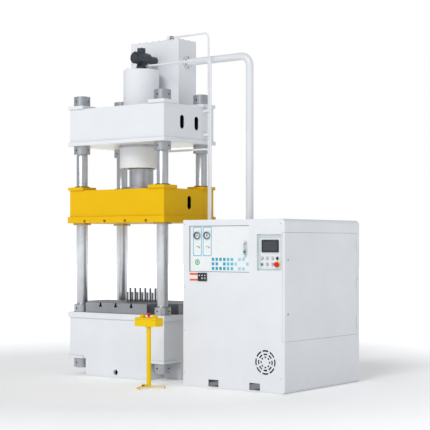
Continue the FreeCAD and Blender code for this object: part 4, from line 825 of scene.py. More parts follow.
        # Painted shade: the socket takes its own finish, which callers mostly set to black oxide
        # under a zinc head.
        self.turn([(key * 1.25, height), (key, height * 0.97), (key, height * 0.45),
                   (0.0, height * 0.45)], place, dark, 6)

    def finish(self, body: str, slot: str | None = None, smooth: float = 35.0,
               replaced: Sequence[str] = ()) -> None:
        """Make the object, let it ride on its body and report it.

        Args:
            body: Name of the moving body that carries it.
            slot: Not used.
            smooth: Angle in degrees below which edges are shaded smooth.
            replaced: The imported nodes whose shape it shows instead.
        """
        bmesh.ops.remove_doubles(self.mesh, verts=self.mesh.verts, dist=1e-6)
        bmesh.ops.recalc_face_normals(self.mesh, faces=self.mesh.faces)
        data = bpy.data.meshes.new(self.name)
        self.mesh.to_mesh(data)
        self.mesh.free()
        for finish in self.finishes:
            data.materials.append(material_of(finish))
        data.polygons.foreach_set("use_smooth", [True] * len(data.polygons))
        data.set_sharp_from_angle(angle=math.radians(smooth))
        piece = put(self.name, data)
        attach(piece, body)
        if replaced:
            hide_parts(*replaced)
        LOG.info("%s: %d faces on %s", self.name, len(data.polygons), body)


def rounded(width: float, height: float, radius: float, steps: int = 5) -> Outline:
    """Give the outline of a rectangle with round corners, anticlockwise about its centre.

    Args:
        width: Overall width.
        height: Overall height.
        radius: Corner radius.
        steps: Points for each corner, less one.

    Returns:
        The corners as (x, y) pairs.
    """
    outline = []
    for quarter, (sx, sy) in enumerate(((1, 1), (-1, 1), (-1, -1), (1, -1))):
        for step in range(steps + 1):
            angle = math.pi / 2 * (quarter + step / steps)
            outline.append((sx * (width / 2 - radius) + radius * math.cos(angle),
                            sy * (height / 2 - radius) + radius * math.sin(angle)))
    return outline


def ring_places(count: int, radius: float, first: float = 0.0) -> Iterator[tuple]:
    """Give the (x, y) places of a bolt circle.

    Args:
        count: How many bolts.
        radius: The circle's radius.
        first: The first bolt's angle in degrees.

    Yields:
        The x and y of each place about the centre.
    """
    for step in range(count):
        angle = math.radians(first) + math.tau * step / count
        yield radius * math.cos(angle), radius * math.sin(angle)


def bent_path(corners: Sequence[Vector], bend: float, steps: int = 8) -> list[Vector]:
    """Round the corners of a tube's route with arcs of one radius.

    Args:
        corners: The route's ends and corners, each bend a right angle.
        bend: The arcs' radius.
        steps: Points in each arc, less one.

    Returns:
        The route's centre line.
    """
    points = [corners[0]]
    for before, corner, after in zip(corners, corners[1:], corners[2:]):
        towards = (before - corner).normalized() * bend
        away = (after - corner).normalized() * bend
        centre = corner + towards + away
        for step in range(steps + 1):
            angle = math.pi / 2 * step / steps
            points.append(centre - away * math.cos(angle) - towards * math.sin(angle))
    points.append(corners[-1])
    return points


def rectangle(x: Span, y: Span, z: float) -> list[Vector]:
    """Give a level rectangle's corners, anticlockwise seen from above."""
    return [Vector((x[i], y[j], z)) for i, j in ((0, 0), (1, 0), (1, 1), (0, 1))]


def circle(x: float, y: float, z: float, radius: float, steps: int) -> list[Vector]:
    """Give points round a level circle about a centre."""
    return [Vector((x + dx, y + dy, z)) for dx, dy in ring_places(steps, radius)]


def walls(node: str, lip: float) -> tuple[Span, Span, Span]:
    """Give a welded beam's walls, inside its lips, as (low, high) pairs."""
    low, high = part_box(node)
    return (low.x + lip, high.x - lip), (low.y + lip, high.y - lip), (low.z, high.z)


def weld_pads(maker: Maker, width: float, wall: tuple[float, float], z: float,
              size: float) -> None:
    """Weld the inner sides of the four column pads to the beam under them.

    Args:
        maker: The piece that takes the beads.
        width: The square pads' width.
        wall: The beam's half length and half depth.
        z: The level of the beam's top.
        size: The bead's radius.
    """
    inner = [centre - width / 2 for centre in COLUMN_CENTRE]
    for side, end in CORNERS:
        maker.weld([Vector((side * x, end * y, z)) for x, y in (
            (wall[0], inner[1]), inner, (inner[0], wall[1]))], size, closed=False)


def dress(finish: Finish, *names: str) -> None:
    """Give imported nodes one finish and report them.

    Args:
        finish: The finish.
        *names: The nodes' names.
    """
    for name in names:
        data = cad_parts[name].data
        data.materials.clear()
        data.materials.append(material_of(finish))
        LOG.info("%s: dressed in %s", name, finish.name)


@dataclass
class Assembly:
    """A sub-assembly and the body that carries its fittings."""

    body: str = "press_frame"


# ------------------------------------------------------------------ press

@dataclass
class PressFrame(Assembly):
    """Bed, table, columns, nuts and crown, with their welds and column ends."""

    lip: float = 0.020
    pad: float = 0.240
    weld: float = 0.006
    crown_plate: float = 0.045
    bed_flange: float = 0.065
    pad_height: float = 0.040
    foot_height: float = 0.205
    base_length: float = 0.956
    wing_depth: float = 0.320
    column_radius: float = 0.067
    lifting_hole: float = 0.014
    hole_depth: float = 0.030
    chamfer: float = 0.004

    def build(self) -> None:
        """Dress the frame's nodes and add its welds and column ends."""
        dress(CROWN_WHITE, "crown_frame")
        dress(BED_WHITE, "bed_frame")
        dress(TABLE_STEEL, "bolster_plate")
        dress(NUT_STEEL, "column_nuts")
        self.crown_welds()
        self.bed_welds()
        self.columns()

    def crown_welds(self) -> None:
        """Add the crown's weld beads."""
        maker = Maker("crown_welds", WHITE)
        x, y, z = walls("crown_frame", self.lip)
        maker.weld(rectangle(x, y, z[0] + self.crown_plate), self.weld)
        weld_pads(maker, self.pad, (x[1], y[1]), z[1] - self.pad_height, self.weld)
        maker.finish(self.body, "white_paint", 60.0)

    def bed_welds(self) -> None:
        """Add the bed's weld beads."""
        maker = Maker("bed_welds", WHITE)
        x, y, z = walls("bed_frame", self.lip)
        maker.weld(rectangle(x, y, z[1] - self.bed_flange), self.weld)
        half_length, half_depth = self.base_length / 2, self.wing_depth / 2
        for side, end in CORNERS:
            maker.weld([Vector((side * across, end * along, self.foot_height))
                        for across, along in ((x[1], half_depth), (half_length, half_depth),
                                              (half_length, y[1]))], self.weld, closed=False)
        maker.finish(self.body, "white_paint", 60.0)

    def columns(self) -> None:
        """Draw the ground columns round and smooth, with chamfers and lifting holes."""
        maker = Maker("ground_columns", COLUMN_CHROME)
        low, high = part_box("guide_columns")
        radius, hole, cut = self.column_radius, self.lifting_hole, self.chamfer
        tip = [(0.0, self.hole_depth), (hole, self.hole_depth), (hole, cut), (hole + cut, 0.0),
               (radius - cut, 0.0), (radius, cut)]
        profile = ([(out, low.z + rise) for out, rise in tip]
                   + [(out, high.z - rise) for out, rise in reversed(tip)])
        for side, end in CORNERS:
            maker.turn(profile, Facing.UP.at(side * COLUMN_CENTRE[0], end * COLUMN_CENTRE[1],
                                             0.0), 0, 96)
        maker.finish(self.body, "hard_chrome", 50.0, ("guide_columns",))


@dataclass
class MovingSlide(Assembly):
    """The yellow slide with its ram, bushes, flange and welds."""

    lip: float = 0.020
    pad: float = 0.240
    weld: float = 0.006
    plate: float = 0.075
    pad_height: float = 0.038
    wiper: tuple = ((0.0676, 0.0), (0.090, 0.0), (0.090, 0.008), (0.084, 0.012),
                    (0.070, 0.012), (0.0676, 0.009), (0.0676, 0.0))
    flange: float = 0.0202
    flange_circle: float = 0.097
    flange_screw: Span = (0.0055, 0.004)
    body: str = "slide"

    def build(self) -> None:
        """Dress the slide's nodes and add its welds and wipers."""
        dress(YELLOW, "slide_frame")
        dress(BRONZE, "slide_bushes")
        dress(RAM_CHROME, "main_ram")
        dress(RING_STEEL, "ram_flange")
        dress(BLACK_OXIDE, "ram_flange_bolts")
        maker = Maker("slide_welds", YELLOW)
        x, y, (low, high) = walls("slide_frame", self.lip)
        maker.weld(rectangle(x, y, low + self.plate), self.weld)
        weld_pads(maker, self.pad, (x[1], y[1]), high - self.pad_height, self.weld)
        maker.finish(self.body, "yellow_paint", 60.0)
        self.wipers(low, high)

    def wipers(self, low: float, high: float) -> None:
        """Add a wiper ring over each upper bush and screws in each lower flange."""
        maker = Maker("column_wipers", RUBBER, ZINC, BLACK_OXIDE)
        for side, end in CORNERS:
            x, y = side * COLUMN_CENTRE[0], end * COLUMN_CENTRE[1]
            maker.turn(self.wiper, Facing.UP.at(x, y, high), 0, 48)
            for dx, dy in ring_places(6, self.flange_circle, 30.0):
                maker.socket_screw(Facing.DOWN.at(x + dx, y + dy, low - self.flange),
                                   *self.flange_screw, 1, 2)
        maker.finish(self.body)


@dataclass
class Cushion:
    """The cushion's cylinder, ram, plate and pins under the table."""

    def build(self) -> None:
        """Dress the cushion's nodes."""
        dress(FRAME_GREY, "cushion_cylinder")
        dress(RAM_CHROME, "cushion_ram")
        dress(PLATE_STEEL, "cushion_plate")
        dress(PIN_STEEL, "cushion_pins")


@dataclass
class MainCylinder(Assembly):
    """Main cylinder with gland, prefill valve and prefill tank on the crown."""

    gland_bolts: float = 0.212
    wiper: tuple = ((0.1456, 0.0), (0.163, 0.0), (0.160, 0.005), (0.149, 0.006), (0.1456, 0.0))
    weld_drop: float = 0.464
    barrel_weld: float = 0.2155
    plug_place: tuple[float, float] = (0.14, 0.09)
    plug_bolt: float = 0.022
    barrel_screws: float = 0.185
    barrel_screw: Span = (0.013, 0.012)
    valve_axis: float = 0.065
    cover: tuple = ((0.0434, 0.0), (0.042, 0.004), (0.0126, 0.004), (0.0112, 0.008),
                    (0.0, 0.008))
    band: tuple = ((0.0705, -0.006), (0.0735, -0.004), (0.0735, 0.004), (0.0705, 0.006))
    bands: tuple = (-0.105, -0.06, 0.06, 0.108)
    valve_flange: float = 0.030
    valve_screws: float = 0.058
    valve_screw: Span = (0.0065, 0.008)
    lid_sheet: float = 0.008
    lid_inset: float = 0.018
    lid_pitch: float = 0.105
    lid_bolt: float = 0.013
    rear_cover: float = 0.40
    rear_drop: float = 0.05
    rear_gasket: float = 0.003
    rear_plate: float = 0.012
    rear_bolts: tuple = (-0.17, -0.057, 0.057, 0.17)

    def build(self) -> None:
        """Dress the cylinder's nodes and add its covers, screws and welds."""
        dress(FORGED_WHITE, "cylinder_barrel", "cylinder_gland")
        dress(RING_STEEL, "cylinder_lock_nut")
        dress(PACKING, "ram_seals")
        dress(BLACK_OXIDE, "gland_bolts", "valve_screws")
        dress(VALVE_DARK, "prefill_valve")
        dress(WHITE, "prefill_tank", "tank_cover")
        self.gland_details()
        self.valve_details()
        self.tank_details()
        self.barrel_details()

    def gland_details(self) -> None:
        """Add the gland's wiper lip and the sockets in its bolt heads."""
        foot = Facing.DOWN.at(0.0, 0.0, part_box("cylinder_gland")[0].z)
        maker = Maker("gland_wiper", RUBBER, BLACK_OXIDE)
        maker.turn(self.wiper, foot, 0, 96)
        for x, y in ring_places(12, self.gland_bolts):
            maker.turn([(0.0105, 0.0), (0.0105, INK), (0.0, INK)], moved(foot, x, -y), 1, 6)
        maker.finish(self.body)

    def barrel_details(self) -> None:
        """Add a weld bead round the barrel, and two bleed plugs and eight cap screws on its
        shoulder.
        """
        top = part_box("cylinder_barrel")[1].z
        maker = Maker("barrel_fittings", FORGED_WHITE, ZINC)
        maker.weld(circle(0.0, 0.0, top - self.weld_drop, self.barrel_weld, 72), 0.004)
        for side in (-1, 1):
            place = Facing.UP.at(*(side * out for out in self.plug_place), top)
            maker.hex_bolt(place, self.plug_bolt, 1)
        for x, y in ring_places(8, self.barrel_screws, 22.5):
            maker.socket_screw(Facing.UP.at(x, y, top), *self.barrel_screw, 1, 1)
        maker.finish(self.body, "forged_steel")

    def valve_details(self) -> None:
        """Add the prefill valve's sunk front cover, cast bands and flange screws."""
        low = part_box("prefill_valve")[0]
        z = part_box("valve_screws")[0].z + self.valve_axis
        maker = Maker("valve_cover", VALVE_DARK, BLACK_OXIDE)
        maker.turn(self.cover, Facing.FRONT.at(0.0, low.y, z), 0, 48)
        for y in self.bands:
            maker.turn(self.band, Facing.FRONT.at(0.0, y, z), 0, 64)
        for x, y in ring_places(6, self.valve_screws):
            maker.socket_screw(Facing.UP.at(x, y, low.z + self.valve_flange),
                               *self.valve_screw, 1, 1)
        maker.finish(self.body, "valve_iron")

    def tank_details(self) -> None:
        """Add the tank cover's gasket and bolts, and the tank's weld beads."""
        maker = Maker("tank_fittings", ZINC, WHITE, RUBBER)
        x, y, (lid, _) = walls("tank_cover", self.lid_inset)
        along = round((x[1] - x[0] + 2 * self.lid_inset) / self.lid_pitch)
        places = [(x[0] + (x[1] - x[0]) * step / along, side)
                  for step in range(along + 1) for side in y]
        third = (y[1] - y[0] + 2 * self.lid_inset) / 3
        places += [(side, y[0] - self.lid_inset + third * step)
                   for step in (1, 2) for side in x]
        for place in places:
            maker.hex_bolt(Facing.UP.at(*place, lid + self.lid_sheet), self.lid_bolt)
        x, y, z = walls("prefill_tank", 0.0)
        maker.weld(rectangle(x, y, z[0] + 0.002), 0.004, finish=1)
        back = Facing.BACK.at(0.0, y[1], sum(z) / 2 - self.rear_drop)
        maker.slab(rounded(self.rear_cover, self.rear_cover, 0.04), self.rear_gasket, back, 2)
        maker.slab(rounded(self.rear_cover - 0.004, self.rear_cover - 0.004, 0.038),
                   self.rear_plate, back, 1, 0.0015)
        for dx, dy in product(self.rear_bolts, repeat=2):
            if max(abs(dx), abs(dy)) > 0.1:
                maker.hex_bolt(moved(back, dx, dy, self.rear_plate), self.lid_bolt)
        for corner in product(x, y):
            maker.weld([Vector((*corner, z[0])), Vector((*corner, z[1] - 0.004))], 0.002,
                       closed=False, finish=1)
        maker.finish(self.body, "white_paint", 60.0)


@dataclass
class Pipework(Assembly):
    """The suction, pilot, pressure and return pipes with their unions and clamps."""

    head_height: float = 3.775
    flange: float = 0.016
    flange_circle: float = 0.061
    flange_bolt: float = 0.012
    crown_screw: Span = (0.005, 0.005)
    wall_screw: Span = (0.006, 0.005)
    crown_clamps: tuple = tuple(product((0.766,), (0.269, 0.301), (2.885, 3.165)))
    wall_clamps: tuple = tuple(product((1.022, 1.085), (-0.025,), (1.405, 1.725)))

    def build(self) -> None:
        """Dress the pipes and add unions, flange bolts and clamp screws."""
        dress(PIPE_WHITE, "suction_pipe", "pilot_pipe", "pressure_pipe", "return_pipe")
        dress(WHITE, "pipe_clamps")
        self.unions()
        self.suction_bolts()
        self.clamp_screws()

    def union(self, maker: Maker, place: Matrix, pipe: float) -> None:
        """Set a compression union on a pipe's end, its nut away from the boss."""
        maker.turn([(pipe * 1.55, 0.0), (pipe * 1.55, 0.016), (pipe * 1.35, 0.018)], place, 0,
                   24)
        nut = pipe * 2.0
        maker.turn([(pipe * 1.01, 0.018), (nut * 0.9, 0.018), (nut, 0.021), (nut, 0.040),
                    (nut * 0.88, 0.044), (pipe * 1.01, 0.046)], place, 0, 6)

    def unions(self) -> None:
        """Add a union or wall gland at each end of the three thin pipes."""
        maker = Maker("pipe_unions", ZINC, PIPE_WHITE)
        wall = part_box("cabinet_shell")[0].x
        for name in ("pilot_pipe", "pressure_pipe", "return_pipe"):
            low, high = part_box(name)
            radius, y = (high.y - low.y) / 2, (low.y + high.y) / 2
            gland = Facing.LEFT.at(wall, y, low.z + radius)
            self.union(maker, Facing.RIGHT.at(low.x, y, high.z - radius), radius)
            self.union(maker, gland, radius)
            maker.turn([(radius * 2.6, 0.0), (radius * 2.6, 0.003), (radius * 2.4, 0.004),
                        (radius, 0.004)], gland, 1, 32)
        maker.finish(self.body, "bright_steel")

    def suction_bolts(self) -> None:
        """Add gaskets, weld collars and bolts to the suction pipe's two flanges."""
        maker = Maker("suction_fittings", ZINC, RUBBER, PIPE_WHITE)
        foot = Facing.UP.at(*SUCTION_PLACE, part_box("cabinet_shell")[1].z)
        head = Facing.RIGHT.at(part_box("prefill_tank")[1].x, SUCTION_PLACE[1], self.head_height)
        for base in (foot, head):
            for x, y in ring_places(6, self.flange_circle, 30.0):
                maker.hex_bolt(moved(base, x, y, self.flange), self.flange_bolt)
            maker.turn([(0.0755, 0.0), (0.0755, 0.002), (0.07, 0.002)], base, 1, 48)
            maker.turn([(0.051, self.flange), (0.0475, 0.021), (0.0447, 0.022)], base, 2, 48)
        maker.finish(self.body, "bright_steel")

    def clamp_screws(self) -> None:
        """Add the screws of each pipe clamp."""
        maker = Maker("clamp_screws", ZINC, BLACK_OXIDE)
        for place in self.crown_clamps:
            maker.socket_screw(Facing.UP.at(*place), *self.crown_screw, 0, 1)
        for place in self.wall_clamps:
            maker.socket_screw(Facing.FRONT.at(*place), *self.wall_screw, 0, 1)
        maker.finish(self.body, "black_bolts")


# ------------------------------------------------------------------ power unit

@dataclass
class Cabinet(Assembly):
    """Power unit cabinet: shell, front, door, plinth and the fan behind its grille."""

    lock_inset: float = 0.06
    lock: tuple = ((0.014, 0.0), (0.014, 0.0018), (0.0125, 0.0026), (0.008, 0.0026),
                   (0.0075, 0.001), (0.0, 0.001))
    left_screws: tuple = (0.16, 0.62, 1.10, 1.79)
    right_screws: tuple = (0.16, 1.79)
    panel_screw: Span = (0.005, 0.0025)
    roof_screw: Span = (0.006, 0.003)
    fan_height: float = 0.324
    louvre: tuple[float, float, float] = (0.20, 0.020, 0.009)
    # Black strip that paints the shade in each louvre's slit: length, height and corner radius.
    slit_shade: tuple[float, float, float] = (0.18, 0.004, 0.0015)
    slit_shade_drop: float = 0.0108
    louvre_banks: tuple = (0.36, 0.66)
    louvre_foot: float = 0.92
    louvre_pitch: float = 0.045
    louvres_per_bank: int = 10
    roof_screws: tuple = tuple(product((1.20, 1.62, 2.04, 2.40), (-0.575, 0.86)))

    def build(self) -> None:
        """Dress the cabinet's nodes and add its locks, screws, fan cap and louvres."""
        dress(PANEL_WHITE, "cabinet_shell", "cabinet_front", "side_door")
        dress(FRAME_GREY, "cabinet_plinth", "oil_tank")
        dress(BLACK_PLASTIC, "fan_housing", "fan_rotor")
        self.door_latch()
        self.panel_screws()
        self.grille_guard()
        self.louvres()

    def door_latch(self) -> None:
        """Add two flush quarter-turn locks near the door's front edge."""
        low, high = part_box("side_door")
        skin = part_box("cabinet_front")[1].x
        maker = Maker("door_locks", ZINC, BLACK_OXIDE)
        for share in (0.25, 0.75):
            place = Facing.RIGHT.at(skin, low.y + self.lock_inset,
                                    low.z + share * (high.z - low.z))
            maker.turn(self.lock, place)
            # Painted shade: a black bar stands for the shaded key slot of each lock.
            maker.slab(rounded(0.003, 0.010, 0.001, 2), 0.0016, place, 1)
        maker.finish("side_door", "bright_steel")

    def panel_screws(self) -> None:
        """Add the front panel's fixing screws along its edges."""
        low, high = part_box("cabinet_front")
        maker = Maker("panel_screws", ZINC, BLACK_OXIDE)
        places = [(low.x + 0.022, z) for z in self.left_screws]
        places += [(high.x - 0.05, z) for z in self.right_screws]
        for x, z in places:
            maker.socket_screw(Facing.FRONT.at(x, low.y, z), *self.panel_screw, 0, 1)
        maker.finish(self.body, "bright_steel")

    def grille_guard(self) -> None:
        """Add the fan's hub cap behind the grille."""
        maker = Maker("fan_hub_cap", BLACK_PLASTIC)
        maker.turn([(0.036, 0.0), (0.034, 0.004), (0.012, 0.006), (0.0, 0.006)],
                   Facing.FRONT.at(middle("fan_rotor").x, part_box("fan_rotor")[0].y + 0.001,
                                   self.fan_height), 0, 48)
        maker.finish("fan_rotor", "black_case")

    def louvres(self) -> None:
        """Add two banks of pressed louvres to the left wall, each with a black strip under it as
        painted shade in its slit, and screws along the roof.
        """
        low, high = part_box("cabinet_shell")
        maker = Maker("wall_louvres", PANEL_WHITE, BLACK_OXIDE, ZINC)
        for y, step in product(self.louvre_banks, range(self.louvres_per_bank)):
            place = Facing.LEFT.at(low.x, y, self.louvre_foot + self.louvre_pitch * step)
            maker.slab(rounded(*self.louvre), 0.007, place, 0, 0.004)
            # Painted shade: a thin black slab stands for the shaded slit under each louvre.
            maker.slab(rounded(*self.slit_shade, 2), 0.003, moved(place, 0.0, -self.slit_shade_drop), 1)
        for place in self.roof_screws:
            maker.socket_screw(Facing.UP.at(*place, high.z), *self.roof_screw, 2, 1)
        maker.finish(self.body, "white_paint")


@dataclass
class MimicBoard(Assembly):
    """Printed board with two gauges, the level tube, status tiles and two plates below."""

    frame_width: float = 0.122
    frame_band: float = 0.009
    frame_above: float = 0.097
    frame_below: float = 0.225
    arc_radius: float = 0.034
    tile: float = 0.034
    tile_pitch: float = 0.051
    tile_start: float = 0.320
    tile_top: float = 0.107
    mark_drop: float = 0.292
    arcs_below: float = 0.152
    arc_angles: tuple = ((150, 118), (114, 86), (82, 56), (52, 24))
    dial_depth: float = 0.013
    dial_ticks: int = 28
    red_ticks: int = 22
    level_block: float = 0.016
    level_radius: float = 0.014
    level_wall: float = 0.0025
    level_screw: Span = (0.003, 0.0015)
    plate_drop: float = 0.042
    notice_offset: float = 0.0645
    terminal_offset: float = 0.1855
    recess: float = 0.008
    margin: float = 0.015
    rows: tuple = ((0.259, (0, 1, 2, 3, 4, 5, 7, 8)), (0.308, (0, 1, 3, 4, 5, 6, 9)),
                   (0.358, (0, 1, 2, 3, 4, 5, 7, 8)))

    def build(self) -> None:
        """Dress the board and add its prints, dials, glasses and plates."""
        dress(BOARD_WHITE, "mimic_board")
        dress(RING_STEEL, "gauge_cases")
        dress(NEEDLE_RED, "gauge_needle_left", "gauge_needle_right")
        dress(FLOAT_BLUE, "level_float")
        low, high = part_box("mimic_board")
        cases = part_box("gauge_cases")
        self.face = low.y + self.recess
        self.middle = middle("mimic_board")
        self.left = low.x + self.margin
        self.top = high.z - self.margin
        radius = (cases[1].z - cases[0].z) / 2
        self.gauges = (cases[0].x + radius, cases[1].x - radius)
        self.gauge_z = (cases[0].z + cases[1].z) / 2
        self.gauge_front = cases[0].y
        self.gauge_radius = radius
        self.prints()
        self.arcs()
        self.dials()
        self.level_ends()
        self.lower_plates()

    def prints(self) -> None:
        """Print the gauge frames, the rows of tiles and the round status mark, and lay a dark
        band round the board's edge, drawn as a seal and painting the shade of the window's
        recess.
        """
        maker = Maker("board_prints", CYAN, PALE_CYAN, FAINT_CYAN, PRINT_GREEN, CHAPTER_GREY)
        height = self.frame_above + self.frame_below
        centre = self.gauge_z + (self.frame_above - self.frame_below) / 2
        outer = rounded(self.frame_width, height, 0.016)
        inner = rounded(self.frame_width - 2 * self.frame_band, height - 2 * self.frame_band,
                        0.010)
        for x in self.gauges:
            maker.frame(outer, inner, INK, Facing.FRONT.at(x, self.face, centre), 1)
        for drop, columns in self.rows:
            for column in columns:
                tint = 0 if column < 4 else 1 if column < 6 else 2
                place = Facing.FRONT.at(
                    self.left + self.tile_start + column * self.tile_pitch, self.face,
                    self.top - self.tile_top - drop)
                maker.slab(rounded(self.tile, self.tile, 0.003, 2), INK, place, tint)
        low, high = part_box("mimic_board")
        width, height = (size - 2 * self.margin for size in (high.x - low.x, high.z - low.z))
        # Painted shade: a dark grey band, drawn as a seal, stands for the shade that the
        # window's recess throws on the board's edge.
        seal_and_shade_place = Facing.FRONT.at(self.middle.x, self.face, self.middle.z)
        maker.frame(rounded(width, height, 0.002), rounded(width - 0.009, height - 0.009, 0.002),
                    0.003, seal_and_shade_place, 4)
        mark = Facing.FRONT.at(self.gauges[0], self.face, self.gauge_z - self.mark_drop)
        maker.turn([(0.032, 0.0), (0.032, INK), (0.020, INK)], mark, 3, 40)
        maker.turn([(0.012, INK), (0.0, INK)], mark, 3, 24)
        maker.finish(self.body, "white_board")

    def arcs(self) -> None:
        """Print a green, amber and red arc under each gauge."""
        maker = Maker("board_arcs", PRINT_AMBER, PALE_CYAN, PRINT_GREEN, PRINT_RED)
        for x in self.gauges:
            place = Facing.FRONT.at(x, self.face, self.gauge_z - self.arcs_below)
            for index, (start, stop) in enumerate(self.arc_angles):
                wide = 0.003 + 0.0012 * index
                outline = []
                for radius, first, last in ((self.arc_radius + wide, start, stop),
                                            (self.arc_radius - wide, stop, start)):
                    for step in range(7):
                        angle = math.radians(first + (last - first) * step / 6)
                        outline.append((radius * math.cos(angle), radius * math.sin(angle)))
                maker.slab(outline[::-1], INK, place, index)
        maker.finish(self.body, "white_board")

    def dials(self) -> None:
        """Add each gauge's dial, tick marks, bezel ring and glass."""
        maker = Maker("gauge_dials", DIAL_WHITE, PRINT_RED, CHAPTER_GREY)
        glass = Maker("gauge_glasses", GAUGE_GLASS, RING_STEEL)
        floor = self.gauge_front + self.dial_depth
        inner = self.gauge_radius - 0.004
        for x in self.gauges:
            dial = Facing.FRONT.at(x, floor, self.gauge_z)
            maker.turn([(inner - 0.0004, 0.0), (inner - 0.0004, 0.0008), (0.0045, 0.0008)],
                       dial, 0, 48)
            maker.turn([(inner - 0.001, 0.0008), (inner - 0.001, 0.0011),
                        (inner * 0.72, 0.0011), (inner * 0.72, 0.0008)], dial, 2, 48)
            for step in range(self.dial_ticks):
                long = step % 3 == 0
                angle = math.radians(225.0 - 10.0 * step)
                tick = moved(dial @ Matrix.Rotation(angle, 4, "Z"),
                             inner * (0.82 if long else 0.85), 0.0, 0.0011)
                maker.slab(rounded(inner * (0.2 if long else 0.1), 0.0012, 0.0004, 1), 0.0002,
                           tick, 1 if step > self.red_ticks else 0)
            front = Facing.FRONT.at(x, self.gauge_front, self.gauge_z)
            glass.turn([(inner + 0.001, -0.002), (inner + 0.001, -0.0005), (0.0, -0.0005),
                        (0.0, -0.002), (inner + 0.001, -0.002)], front, 0, 48)
            glass.turn([(inner, -0.0008), (inner + 0.001, 0.0018), (inner + 0.0035, 0.0018),
                        (self.gauge_radius + 0.0006, 0.0), (self.gauge_radius + 0.0006, -0.006)],
                       front, 1, 64)
        maker.finish(self.body, "white_board")
        glass.finish(self.body)

    def level_ends(self) -> None:
        """Add the level tube's backing strip, screws and end caps."""
        low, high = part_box("level_tube")
        x, y, z = middle("level_tube")
        block, radius, wall = self.level_block, self.level_radius, self.level_wall
        width, depth = high.x - low.x, high.y - low.y
        tube = Maker("level_sight_tube", TUBE_ACRYLIC, BOARD_WHITE)
        bottom, top = low.z + block, high.z - block
        tube.turn([(radius - wall, bottom), (radius, bottom), (radius, top),
                   (radius - wall, top), (radius - wall, bottom)], Facing.UP.at(x, y, 0.0), 0,
                  48)
        for start in (low.z, top):
            tube.slab(rounded(width, block, 0.004), depth,
                      Facing.FRONT.at(x, high.y, start + block / 2), 1, 0.002)
        tube.finish(self.body, "clear_tube", replaced=("level_tube",))
        maker = Maker("level_fittings", BOARD_WHITE, CHAPTER_GREY, PALE_CYAN)
        strip = Facing.FRONT.at(x, self.face, z)
        outline = rounded(width + 0.008, high.z - low.z + 0.008, 0.020)
        inner = rounded(width + 0.002, high.z - low.z + 0.002, 0.017)
        maker.slab(outline, 0.001, strip, 0)
        maker.frame(outline, inner, 0.0016, strip, 1)
        for level in (low.z + block / 2, high.z - block / 2):
            for dx in (-0.016, 0.016):
                maker.socket_screw(Facing.FRONT.at(x + dx, low.y, level), *self.level_screw)
        for step in range(6):
            maker.slab(rounded(0.008, 0.0016, 0.0005, 1), 0.0014, Facing.FRONT.at(
                x - 0.019, self.face, low.z + 0.03 + 0.02 * step), 2)
        maker.finish(self.body, "white_board")

    def lower_plates(self) -> None:
        """Add the plain notice plate and the black terminal block under the board."""
        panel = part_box("cabinet_front")[0].y
        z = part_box("mimic_board")[0].z - self.plate_drop
        plate = Facing.FRONT.at(self.left + self.notice_offset, panel, z)
        maker = Maker("notice_plate", LABEL_WHITE, PRINT_ORANGE)
        maker.slab(rounded(0.119, 0.090, 0.004), 0.0012, plate, 0, 0.0004)
        for dy in (-0.032, 0.032):
            maker.slab(rounded(0.115, 0.021, 0.002, 2), INK, moved(plate, 0.0, dy, 0.0012), 1)
        maker.finish(self.body, "white_board")
        block = Facing.FRONT.at(self.left + self.terminal_offset, panel, z)
        maker = Maker("terminal_block", BLACK_PLASTIC, ZINC, DIAL_WHITE)
        maker.slab(rounded(0.121, 0.090, 0.005), 0.010, block, 0, 0.0015)
        for dx in (-0.038, 0.0, 0.038):
            maker.turn([(0.012, 0.0), (0.012, 0.003), (0.009, 0.004), (0.009, 0.001),
                        (0.0, 0.001)], moved(block, dx, -0.012, 0.010), 0 if dx < 0 else 1, 24)
            maker.slab(rounded(0.018, 0.010, 0.002, 2), INK, moved(block, dx, 0.018, 0.010), 2)
        maker.finish(self.body, "black_case")


